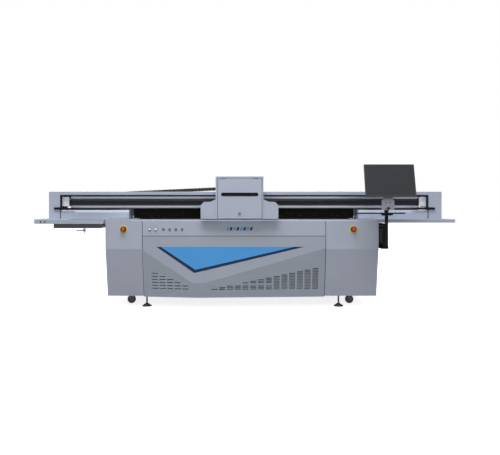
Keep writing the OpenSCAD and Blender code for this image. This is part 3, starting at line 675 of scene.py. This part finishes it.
def panel_screws():
    """Screws round the side and back panels."""
    lo, hi = extent("side_panels")
    back = extent("side_decks")[1].y
    mesh = Mesh()
    for x, out in ((lo.x, -1), (hi.x, 1)):
        for y in range(200, 1960, 290):
            for z in (170, 985):
                mesh.screw("x", (x, y, z), 6, out)
        for z in (430, 700):
            mesh.screw("x", (x, back - 40, z), 6, out)
    for x in range(-1560, 1520, 256):
        for z in (165, 985):
            mesh.screw("y", (x, back, z), 6, 1)
    for x in (-1570, -30, 1508):
        for z in (380, 600, 800):
            mesh.screw("y", (x, back, z), 6, 1)
    mesh.piece("panel_screws", "root", "zinc_steel", [FINISHES["zinc_steel"], SHADE_AND_DARK_PARTS])


def panel_latches():
    """Quarter-turn latches and finger pulls on the side panels, which lift off for service."""
    lo, hi = extent("side_panels")
    for name, x, out in (("left", lo.x, -1), ("right", hi.x, 1)):
        mesh = Mesh()
        for y in (520, 1560):
            mesh.lathe("x", (x, y, 880), [(17, 0.1 * out), (17, 2 * out), (15.5, 3 * out)], 0, 32)
            mesh.lathe("x", (x, y, 880), [(9, 2.9 * out), (9, 5 * out), (7.5, 6 * out)], 0, 24)
            # The key slot is a flat near-black bar: painted shade of the slot.
            a, b = sorted((5 * out, 6.3 * out))
            mesh.block((x + a, y - 1.2, 873), (x + b, y + 1.2, 887), 1)
        if name == "left":
            mesh.prism("x", x - 2.2, x - 0.1, stadium(960, 1120, 800, 22))
            # The hollow of the finger pull is a flat near-black plate: painted shade.
            mesh.prism("x", x - 2.6, x - 2.1, stadium(972, 1108, 800, 13), 1)
        mesh.piece(f"panel_latches_{name}", "root", "zinc_steel", [FINISHES["zinc_steel"], SHADE_AND_DARK_PARTS],
                   0.3)


def panel_joints():
    """Joint lines of the three sheets that make up the back."""
    back = extent("side_decks")[1].y
    mesh = Mesh()
    for x in (-545, 485):
        mesh.block((x - 1.5, back + 0.05, 140), (x + 1.5, back + 0.5, 1005))
        mesh.block((x - 22, back + 0.05, 140), (x - 19, back + 0.3, 1005))
    mesh.piece("back_joints", "root", "dark_steel", [FINISHES["dark_steel"]])


def mains_socket():
    """Insulating insert and pins of the mains inlet, with its cover frame."""
    x, y, z = -1300, 2020, 440
    mesh = Mesh()
    mesh.prism("y", y + 0.05, y + 2.5, [(x + u, z + v) for u, v in
                                       ((-40, -50), (40, -50), (40, 50), (-40, 50))])
    mesh.ring("y", (x, y, z), 31, 26, 2.4, 9, 0, 40)
    mesh.lathe("y", (x, y, z), [(25.5, 2.4), (25.5, 6), (24, 6.6)], 1, 40)
    for px, pz in circle(x, z, 13, 3, 90):
        mesh.lathe("y", (px, y, pz), [(3, 6.4), (3, 9), (2, 9.8)], 2, 12)
    for u in (-33, 33):
        for v in (-43, 43):
            mesh.screw("y", (x + u, y + 2.4, z + v), 3.5, 1)
    mesh.piece("mains_socket", "root", "monitor_plastic",
               [FINISHES["monitor_plastic"], SHADE_AND_DARK_PARTS, BRASS], 0.4)


def spigot_bead():
    """Rolled bead and flange screws of the exhaust spigot."""
    x, y, z = 700, 1980, 420
    mesh = Mesh()
    mesh.lathe_closed("y", (x, y, z), [(50.1, 38), (51.6, 40), (52.1, 42), (51.6, 44), (50.1, 46)],
                      0, 64)
    mesh.ring("y", (x, y, z), 68, 50.2, 0.1, 2.2, 0, 64)
    for px, pz in circle(x, z, 60, 6, 30):
        mesh.screw("y", (px, y + 2.2, pz), 4, 1)
    mesh.piece("spigot_flange", "root", "zinc_steel", [FINISHES["zinc_steel"], SHADE_AND_DARK_PARTS])


def foot_threads():
    """Thread rings on the levelling feet."""
    lo, hi = extent("levelling_feet")
    mesh = Mesh()
    for x in (lo.x + 55, hi.x - 55):
        for y in (lo.y + 55, hi.y - 55):
            for k in range(30):
                z = 40 + 3 * k
                mesh.lathe("z", (x, y, z), [(9.05, 0), (9.9, 0.9), (9.9, 1.3), (9.05, 2.2)], 0, 16)
    mesh.piece("foot_threads", "feet", "dark_steel", [FINISHES["zinc_steel"]])


# ---------- table ----------

def vacuum_ports():
    """Countersunk air ports, four in each cell of the table's groove grid."""
    lo, hi = extent("vacuum_table")
    mesh = Mesh()
    profile = [(5, -0.3), (5, 0.35), (3.4, 0.4), (0.5, 0.05)]
    in_cell = [(60 + u, 60 + v) for u in (30, 76) for v in (30, 76)]
    for i in range(24):
        for j in range(13):
            for u, v in in_cell:
                place = (lo.x + TABLE_PITCH * i + u, TABLE_PITCH * j + v, hi.z)
                mesh.lathe("z", place, profile, 0, 8)
    mesh.piece("vacuum_ports", "root", "dark_steel", [FINISHES["dark_steel"]])


def edge_bar_screws():
    """Countersunk screws along the table's edge bars."""
    lo, hi = extent("table_edge_bars")
    mesh = Mesh()
    large = [(6.5, -0.2), (6.5, 0.3), (3, 0.1), (0.4, 0.05)]
    small = [(4, -0.2), (4, 0.3), (2, 0.1), (0.4, 0.05)]
    for k in range(22):
        mesh.lathe("z", (lo.x + 70 + k * 117, 16, hi.z), large, 0, 12)
    for x in (lo.x + 6, hi.x - 6):
        for k in range(12):
            mesh.lathe("z", (x, 90 + k * 120, hi.z), small, 0, 12)
    mesh.piece("edge_bar_screws", "root", "zinc_steel", [FINISHES["zinc_steel"]])


def registration_pins():
    """Low stop pins along the table's left and front edges, where a board is squared up."""
    lo, hi = extent("vacuum_table")
    mesh = Mesh()
    left_row = [(lo.x + 24, 120 + 330 * k) for k in range(4)]
    front_row = [(lo.x + 140 + 430 * k, 44) for k in range(6)]
    for x, y in left_row + front_row:
        mesh.lathe("z", (x, y, hi.z), [(7, 0.1), (7, 1.2), (6, 1.6)], 0, 20)
    mesh.piece("registration_pins", "root", "rail_steel", [FINISHES["dark_steel"]])


# ---------- gantry details ----------

def tensioner_levers():
    """Black clamping levers at the two ends of the belt."""
    y, z = 238, 1153
    for name, hub, thick, thin in (("left", -2199, -2269, -2030), ("right", 2185, 2262, 1987)):
        mesh = Mesh()
        out = 1 if thin > thick else -1
        mesh.lathe("y", (hub, y, z), [(15, 11.6), (15, -6), (13, -9), (6, -9.6)], 0, 32)
        for end, h0, h1 in ((thick, 14, 13), (thin, 13, 6)):
            outline = [(hub, z - h0), (end, z - h1), (end, z + h1), (hub, z + h0)]
            mesh.prism("y", y - 6, y + 5, outline)
        mesh.lathe("x", (thick, y, z), [(12, -3 * out), (14, -1 * out), (14, 9 * out),
                                        (12, 11 * out)], 0, 24)
        mesh.piece(f"tensioner_lever_{name}", "gantry", "black_metal",
                   [FINISHES["black_metal"]], 1.2)


def gantry_top():
    """Height of the gantry's top cover."""
    return extent("gantry_top_cover")[1].z


def gantry_seals():
    """Dark trim in the upright joints at the gantry's ends, and a pale strip at the right lower
    cover's end: painted highlight for its lit end face.
    """
    mesh = Mesh()
    low, high = 1031, gantry_top() - 40
    for x in (-2201, 2190):
        mesh.block((x - 4, 246.8, low), (x + 4, 249.8, high))
    mesh.piece("gantry_seals", "gantry", "belt_rubber", [FINISHES["belt_rubber"]], 0.5)
    # Pale strip in the carriage's lighter paint: painted highlight where the right lower cover's
    # end face catches the light.
    edge = Mesh()
    edge.block((1355, 247.2, low), (1361, 249.8, 1107))
    edge.piece("lower_cover_painted_highlight", "gantry", None, [FINISHES["carriage_paint"]], 0.5)


def curtain_brush():
    """Split rubber fringe, in two overlapping layers, under the curtain that keeps light in."""
    lo, hi = extent("uv_curtain")
    mesh = Mesh()
    pitch, low = 40, 1030.5
    count = int((hi.x - lo.x - 4) / pitch)
    start = (lo.x + hi.x - count * pitch) / 2
    for k in range(count):
        x = start + pitch * k
        y = lo.y + (0.3 if k % 2 else 2.7)
        mesh.block((x - 0.5, y, low), (x + pitch + 0.5, y + 2, lo.z - 0.1))
    mesh.piece("curtain_fringe", "gantry", None, [FINISHES["curtain_rubber"]])


def rail_screws():
    """Screw bores along the faces of both X rails."""
    lo, hi = extent("x_rails")
    mesh = Mesh()
    bore = [(4.6, 0.2), (4.6, -0.3), (3, -0.2), (0.4, -0.1)]
    for z in (lo.z + 13, hi.z - 13):
        for k in range(70):
            mesh.lathe("y", (lo.x + 30 + 60 * k, lo.y, z), bore, 0, 10)
    mesh.piece("rail_screws", "gantry", "rail_steel", [FINISHES["rail_steel"]])


def rail_groove_shade():
    """Dark strips along the X rails: painted shade in their ball tracks."""
    lo, hi = extent("x_rails")
    mesh = Mesh()
    for z in (lo.z + 13, hi.z - 13):
        for v in (-8.5, 7.5):
            mesh.block((lo.x + 1, lo.y - 0.25, z + v), (hi.x - 1, lo.y + 0.1, z + v + 1))
    mesh.piece("rail_groove_shade", "gantry", "dark_steel", [FINISHES["dark_steel"]])


def belt_teeth():
    """Teeth on the inner face of the belt's front run."""
    mesh = Mesh()
    left, right, pitch, y = -2150, 2140, 20, 322
    for x in range(left, right - pitch + 1, pitch):
        mesh.block((x, y - 0.05, 1206), (x + 9, y + 2.2, 1244))
    mesh.piece("belt_teeth", "gantry", "belt_rubber", [FINISHES["belt_rubber"]])


def cover_screws():
    """Screws in the gantry's covers, end blocks and wings."""
    mesh = Mesh()
    top = gantry_top()
    for k in range(18):
        x = -2140 + 252 * k
        for y in (272, 508):
            mesh.screw("z", (x, y, top), 5, 1)
    for x, out in END_FACES:
        for y in (275, 505):
            for z in (1055, 1190, 1330):
                mesh.screw("x", (x, y, z), 5, out)
    for x0, x1 in ((-2180, -1390), (1385, 2170)):
        for k in range(4):
            mesh.screw("y", (x0 + (x1 - x0) * k / 3, 530, 1090), 5, 1)
    mesh.piece("cover_screws", "gantry", "zinc_steel", [FINISHES["zinc_steel"], SHADE_AND_DARK_PARTS])


def wing_fixings():
    """Two dark screws at the tip of the left wing and ribs along the edges of both wings."""
    mesh = Mesh()
    for x in (-2326, -2280):
        mesh.lathe("y", (x, -60, 1003), [(10, -0.1), (10, -1.6), (8, -2.2), (4, -2.3)], 0, 20)
    mesh.piece("wing_fixings", "gantry", "dark_steel", [SHADE_AND_DARK_PARTS])
    strip = Mesh()
    z = 1030
    for x0, x1 in ((-2395, -2130), (1640, 2395)):
        strip.block((x0, -52, z), (x1, -46, z + 1.6))
        strip.block((x0, 546, z), (x1, 552, z + 1.6))
    strip.piece("wing_ribs", "gantry", "gantry_paint", [FINISHES["gantry_paint"]], 0.6)


def end_vents():
    """Vent slots in the outer faces of the end blocks, as dark inserts with thin frames; the
    near-black inserts are painted shade inside the slots.
    """
    mesh = Mesh()
    for x, out in END_FACES:
        a, b = sorted((x + 0.1 * out, x + 1.2 * out))
        c, d = sorted((x + 1.1 * out, x + 1.6 * out))
        for k in range(6):
            z = 1120 + 26 * k
            mesh.prism("x", a, b, stadium(320, 460, z, 7))
            mesh.prism("x", c, d, stadium(323, 457, z, 4), 1)
    mesh.piece("end_vents", "gantry", "gantry_paint", [FINISHES["gantry_paint"], SHADE_AND_DARK_PARTS])


def chain_link(mesh, x0, x1, z0, z1):
    """One link from x0 to x1; its centre height runs from z0 to z1."""
    def lift(x):
        return z0 + (z1 - z0) * (x - x0) / (x1 - x0)
    half = CHAIN_H / 2
    gap = 0.10 * (x1 - x0)
    ends = [x0 + gap * 0.4, x0 + gap * 1.6, x1 - gap * 1.6, x1 - gap * 0.4]
    heights = [half * 0.72, half, half, half * 0.72]
    outline = [(x, lift(x) + h) for x, h in zip(ends, heights)]
    outline += [(x, lift(x) - h) for x, h in reversed(list(zip(ends, heights)))]
    for y in (CHAIN_Y[0], CHAIN_Y[1] - 7):
        mesh.prism("y", y, y + 7, outline)
    neck = [(x0 - gap, lift(x0 - gap) + half * 0.5), (x0 + gap, lift(x0 + gap) + half * 0.5),
            (x0 + gap, lift(x0 + gap) - half * 0.5), (x0 - gap, lift(x0 - gap) - half * 0.5)]
    for y in (CHAIN_Y[0] + 2, CHAIN_Y[1] - 5):
        mesh.prism("y", y, y + 3, neck)
    mid = (x0 + x1) / 2
    for h in (half - 4, -half):
        z = lift(mid) + h
        mesh.block((mid - 9, CHAIN_Y[0] + 6.5, z), (mid + 9, CHAIN_Y[1] - 6.5, z + 4))


def chain_run(x0, x1, height):
    """Links and hoses from x0 to x1; height gives the centre's Z at an X."""
    mesh = Mesh()
    count = round((x1 - x0) / LINK)
    for k in range(count):
        a, b = x0 + (x1 - x0) * k / count, x0 + (x1 - x0) * (k + 1) / count
        chain_link(mesh, a, b, height(a), height(b))
    steps = 24
    for u, v, r in HOSES:
        rings = []
        for k in range(steps + 1):
            x = x0 + (x1 - x0) * k / steps
            rings.append([(x, CHAIN_Y[0] + u + p, height(x) + v + q)
                          for p, q in circle(0, 0, r, 10)])
        mesh.loft(rings, 1)
    return mesh


def chain_bend(x0, z0, outer):
    """Half turn of links and hoses round (x0, z0), open to the right."""
    mesh = Mesh()
    inner, parts, rim = outer - CHAIN_H, 7, 4

    def spot(r, t):
        return x0 + r * math.cos(t), z0 + r * math.sin(t)

    for k in range(parts):
        a0 = math.radians(90 + 180 * k / parts + 2)
        a1 = math.radians(90 + 180 * (k + 1) / parts - 2)
        sector = [spot(outer, a0), spot(outer, a1), spot(inner, a1), spot(inner, a0)]
        for y in (CHAIN_Y[0], CHAIN_Y[1] - 7):
            mesh.prism("y", y, y + 7, sector)
        t0, t1 = a0 + (a1 - a0) * 0.25, a0 + (a1 - a0) * 0.75
        for r0, r1 in ((outer - rim, outer), (inner, inner + rim)):
            bar = [spot(r1, t0), spot(r1, t1), spot(r0, t1), spot(r0, t0)]
            mesh.prism("y", CHAIN_Y[0] + 6.5, CHAIN_Y[1] - 6.5, bar)
    steps, middle = 16, (inner + outer) / 2
    for u, v, r in HOSES:
        rings = []
        for k in range(steps + 1):
            t = math.radians(90 + 180 * k / steps)
            hose = []
            for p, q in circle(0, 0, r, 10):
                x, z = spot(middle + v + q, t)
                hose.append((x, CHAIN_Y[0] + u + p, z))
            rings.append(hose)
        mesh.loft(rings, 1)
    return mesh


def chain_trough():
    """Open channel that the chain's lower run lies in."""
    lo, hi = extent("chain_tray")
    wall = 3
    mesh = Mesh()
    mesh.prism("x", lo.x, hi.x, [
        (lo.y, lo.z), (hi.y, lo.z), (hi.y, hi.z), (hi.y - wall, hi.z), (hi.y - wall, lo.z + wall),
        (lo.y + wall, lo.z + wall), (lo.y + wall, hi.z), (lo.y, hi.z)])
    return mesh


def cable_chain():
    """Cable chain behind the gantry: lower run in its trough, bend, run up to the carriage."""
    look = [FINISHES["chain_plastic"], FINISHES["curtain_rubber"]]
    lo, hi = extent("cable_chain")
    bend_lo, bend_hi = extent("chain_bend")
    bend_r = (bend_hi.z - bend_lo.z) / 2
    bend_x, bend_z = lo.x - 1, bend_lo.z + bend_r
    low, joined = bend_lo.z + CHAIN_H / 2, bend_hi.z - CHAIN_H / 2
    high, level_from = hi.z - CHAIN_H / 2, -330

    def height(x):
        if x > level_from:
            return high
        return joined + (high - joined) * (x - bend_x) / (level_from - bend_x)

    upper = chain_run(bend_x + 6, hi.x, height).piece(
        "cable_chain_upper", None, "chain_plastic", look, 0.8)
    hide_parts("cable_chain")
    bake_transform(upper)
    bend = chain_bend(bend_x - 0.5, bend_z, bend_r).piece(
        "cable_chain_bend", "chain_bend", "chain_plastic", look, 0.8)
    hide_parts("chain_bend")
    lower = chain_run(-2185, 180, lambda x: low).piece(
        "cable_chain_lower", "gantry", "chain_plastic", look, 0.8)
    trough = chain_trough().piece("chain_trough", "gantry", "frame_steel",
                                  [FINISHES["gantry_paint"]], 1)
    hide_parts("chain_tray")
    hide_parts("chain_tray")


# ---------- carriage details ----------

def cover_seal():
    """Dark seal in the joint round the carriage's front cover."""
    lo, hi = extent("carriage_cover")
    mesh = Mesh()
    y0, y1, gap, wide = -78.2, -75.9, 0.6, 4
    left, right, top = lo.x - gap, hi.x + gap, hi.z + gap
    mesh.block((left - wide, y0, lo.z), (left, y1, top))
    mesh.block((right, y0, lo.z), (right + wide, y1, top))
    mesh.block((left - wide, y0, top), (right + wide, y1, top + wide))
    mesh.piece("cover_seal", "carriage", "belt_rubber", [FINISHES["belt_rubber"]], 0.4)


def grip_liner():
    """Black liner in the cover's grip slot, with a row of small windows, and its pale rim."""
    lo, hi = extent("carriage_cover")
    x0, x1, z, r = lo.x + 36, hi.x - 38, 1315, 21
    mesh = Mesh()
    mesh.prism("y", -71.5, -69.1, stadium(x0 + 0.4, x1 - 0.4, z, r - 0.4))
    count = 9
    for k in range(count):
        x = x0 + 30 + (x1 - x0 - 60) * k / (count - 1)
        mesh.prism("y", -73, -71.4, stadium(x - 13, x + 13, z, 6, 6))
    mesh.piece("grip_liner", "front_cover", "monitor_plastic", [FINISHES["black_metal"]])
    rim = Mesh()
    outer, inner = stadium(x0 - 4, x1 + 4, z, r + 4), stadium(x0 + 0.2, x1 - 0.2, z, r - 0.2)
    rings = [[(u, y, v) for u, v in outline]
             for outline, y in ((outer, -80.1), (outer, -81.2), (inner, -81.6), (inner, -79.6))]
    rim.loft(rings, 0, closed=True)
    rim.piece("grip_rim", "front_cover", "carriage_paint", [FINISHES["carriage_paint"]])


def lock_face():
    """Keyway and knurled edge of the cover lock."""
    lo, hi = extent("cam_lock")
    x, z = (lo.x + hi.x) / 2, 1099
    mesh = Mesh()
    mesh.lathe("y", (x, lo.y, z), [(13.5, 0.1), (13.5, -1), (12.5, -1.6)], 0, 32)
    # The keyway is a flat near-black bar: painted shade of the slot.
    mesh.block((x - 1.4, lo.y - 2, z - 7), (x + 1.4, lo.y - 1.5, z + 7), 1)
    for px, pz in circle(x, z, 17.6):
        mesh.lathe("y", (px, lo.y, pz), [(1.2, 0.6), (1.2, 5)], 0, 6)
    mesh.piece("lock_face", "cam_lock", "switch_metal", [FINISHES["button_grey"], SHADE_AND_DARK_PARTS])


def hinge_knuckles():
    """Barrels of the front cover's hinges."""
    lo, hi = extent("carriage_cover")
    mesh = Mesh()
    for x in (lo.x + 70, hi.x - 70):
        for k in range(3):
            mesh.lathe("x", (x - 30 + 20 * k, lo.y - 1.2, hi.z + 2), [(3.4, 0.4), (3.4, 19.6)],
                       0, 16)
    mesh.piece("hinge_knuckles", "carriage", "zinc_steel", [FINISHES["zinc_steel"]], 0.3)


def carriage_vents():
    """Slot groups in the carriage's sides and back, as framed dark inserts; the near-black inserts
    are painted shade inside the slots.
    """
    lo, hi = extent("carriage_shell")
    mesh = Mesh()
    for x, out in ((lo.x, -1), (hi.x, 1)):
        a, b = sorted((x + 0.1 * out, x + 1.0 * out))
        c, d = sorted((x + 0.9 * out, x + 1.3 * out))
        for k in range(7):
            z = 1290 + 22 * k
            mesh.prism("x", a, b, stadium(0, 150, z, 6, 6))
            mesh.prism("x", c, d, stadium(3, 147, z, 3.4, 6), 1)
    for k in range(5):
        z = 1404 + 20 * k
        for x0 in (lo.x + 50, lo.x + 220, lo.x + 390):
            mesh.prism("y", hi.y + 0.1, hi.y + 1, stadium(x0, x0 + 120, z, 6, 6))
            mesh.prism("y", hi.y + 0.9, hi.y + 1.3, stadium(x0 + 3, x0 + 117, z, 3.4, 6), 1)
    mesh.piece("carriage_vents", "carriage", "carriage_paint",
               [FINISHES["carriage_paint"], SHADE_AND_DARK_PARTS])


def carriage_screws():
    """Screws in the carriage's top and sides."""
    lo, hi = extent("carriage_shell")
    mesh = Mesh()
    for x in (lo.x + 30, (lo.x + hi.x) / 2, hi.x - 30):
        for y in (lo.y + 30, hi.y - 30):
            mesh.screw("z", (x, y, hi.z), 5, 1)
    for x, out in ((lo.x, -1), (hi.x, 1)):
        for y, z in ((-50, 1490), (200, 1490), (-50, 1280), (200, 1280), (375, 1490)):
            mesh.screw("x", (x, y, z), 5, out)
    mesh.piece("carriage_screws", "carriage", "zinc_steel", [FINISHES["zinc_steel"], SHADE_AND_DARK_PARTS])


def lamp_windows():
    """Glass under the UV lamps and fan grilles on the housings' outer faces."""
    lo, hi = extent("lamp_housings")
    fan_y, fan_z = 66, 1110
    for name, x0, x1, x, out in (("left", lo.x + 20, -351, lo.x, -1),
                                 ("right", 233, hi.x - 20, hi.x, 1)):
        mesh = Mesh()
        mesh.block((x0 + 6, 6, lo.z + 9.4), (x1 - 6, 114, lo.z + 11.9))
        mesh.piece(f"uv_window_{name}", "carriage", "monitor_plastic", [SCREEN], 0.3)
        grille = Mesh()
        a, b = sorted((0.1 * out, 2 * out))
        for r in (20, 32, 44):
            grille.ring("x", (x, fan_y, fan_z), r, r - 3.5, a, b, 0, 40)
        a, b = sorted((x + 0.1 * out, x + 1.6 * out))
        for k in range(4):
            t = math.pi * k / 4
            c, s = math.cos(t), math.sin(t)
            bar = [(-45, -1.5), (45, -1.5), (45, 1.5), (-45, 1.5)]
            grille.prism("x", a, b, [(fan_y + u * c - v * s, fan_z + u * s + v * c)
                                     for u, v in bar])
        grille.piece(f"fan_grille_{name}", "carriage", "black_metal", [FINISHES["black_metal"]])


# ---------- monitor, tray and computer ----------

def monitor_place(p):
    """From the monitor's own axes to the machine's."""
    x, y, z = p
    x0, y0, z0 = MONITOR_ORIGIN
    c, s = math.cos(MONITOR_TILT), math.sin(MONITOR_TILT)
    return x0 + x, y0 + y * c - z * s, z0 + y * s + z * c


def monitor_details():
    """Screen glass, keys, lamp, back vents and the screws of the wall-mount holes."""
    screen = Mesh(monitor_place)
    screen.block((-262.6, 1.4, -163.6), (262.6, 2.9, 167.6))
    screen.piece("screen", "monitor", None, [SCREEN], 0.3)
    trim = Mesh(monitor_place)
    for k in range(5):
        trim.block((170 + 18 * k, -0.9, -176), (180 + 18 * k, -0.1, -172.5))
    trim.lathe("y", (264, 0, -174), [(1.8, -0.1), (1.8, -0.8), (1.2, -1)], 0, 12)
    for k in range(12):
        trim.block((-120, 40.1, 20 + 6 * k), (120, 41.2, 22.5 + 6 * k), 1)
    for x in (-50, 50):
        for z in (-50, 50):
            trim.lathe("y", (x, 40, z), [(4.5, 0.1), (4.5, 1.6), (3.4, 2.4)], 1, 16)
    trim.piece("monitor_trim", "monitor", "monitor_plastic",
               [FINISHES["monitor_plastic"], FINISHES["dark_steel"]])


def arm_details():
    """Four small screws and the clamp knob on the swivel arm's plate."""
    mesh = Mesh()
    for x in (1575, 1625):
        mesh.lathe("y", (x, -196, 1222), [(6, 0.1), (6, -2), (4, -3)], 0, 16)
        mesh.lathe("y", (x, -196, 1160), [(5, 0.1), (5, -1.4), (3.5, -2)], 0, 16)
    mesh.piece("arm_screws", "swivel_arm", "dark_steel", [SHADE_AND_DARK_PARTS])
    knob = Mesh()
    knob.lathe("y", (1600, -196, 1158), [(6, 0.1), (6, -8), (15, -9), (16, -20), (13, -23),
                                         (5, -24)], 0, 10)
    knob.piece("arm_clamp", "swivel_arm", "monitor_plastic", [FINISHES["monitor_plastic"]], 0.8)


def tray_liner():
    """Ribbed rubber mat in the keyboard tray."""
    lo, hi = extent("keyboard_tray")
    mesh = Mesh()
    mesh.block((lo.x + 4, -344, 1102.1), (hi.x - 4, -184, 1103.6))
    for k in range(24):
        x = lo.x + 16 + k * (hi.x - lo.x - 32) / 23
        mesh.block((x - 3, -340, 1103.5), (x + 3, -188, 1104.1))
    mesh.piece("tray_mat", "keyboard_tray", "belt_rubber", [FINISHES["curtain_rubber"]], 0.3)


def computer_details():
    """Front slots, power button, side vents and screws of the computer's case."""
    lo, hi = extent("pc_case")
    mesh = Mesh()
    for k in range(16):
        z = 760 + 10 * k
        mesh.block((1558, lo.y - 0.8, z), (1602, lo.y - 0.1, z + 4))
    mesh.lathe("y", (1592, lo.y, 945), [(7, -0.1), (7, -1.6), (6, -2)], 0, 20)
    for k in range(18):
        y = 150 + 16 * k
        mesh.block((hi.x + 0.1, y, 770), (hi.x + 0.9, y + 7, 900))
    for y in (90, 455):
        for z in (725, 967):
            mesh.screw("x", (hi.x, y, z), 4, 1)
    mesh.piece("computer_vents", "root", "black_metal", [FINISHES["dark_steel"], SHADE_AND_DARK_PARTS])


# ---------- the whole machine ----------

CABINET = (film_triangle, badge, lamp_lenses, stop_plates, button_rings, seam_strips,
           louvre_baffles, panel_screws, panel_latches, panel_joints, mains_socket, spigot_bead,
           foot_threads, vacuum_ports, edge_bar_screws, registration_pins)
GANTRY = (tensioner_levers, gantry_seals, curtain_brush, rail_screws, rail_groove_shade, belt_teeth,
          cover_screws, wing_fixings, end_vents, cable_chain)
CARRIAGE = (cover_seal, grip_liner, lock_face, hinge_knuckles, carriage_vents, carriage_screws,
            lamp_windows)
DESK = (monitor_details, arm_details, tray_liner, computer_details)

make_camera()
make_studio()
finish_cad_nodes()
for make in CABINET + GANTRY + CARRIAGE + DESK:
    make()
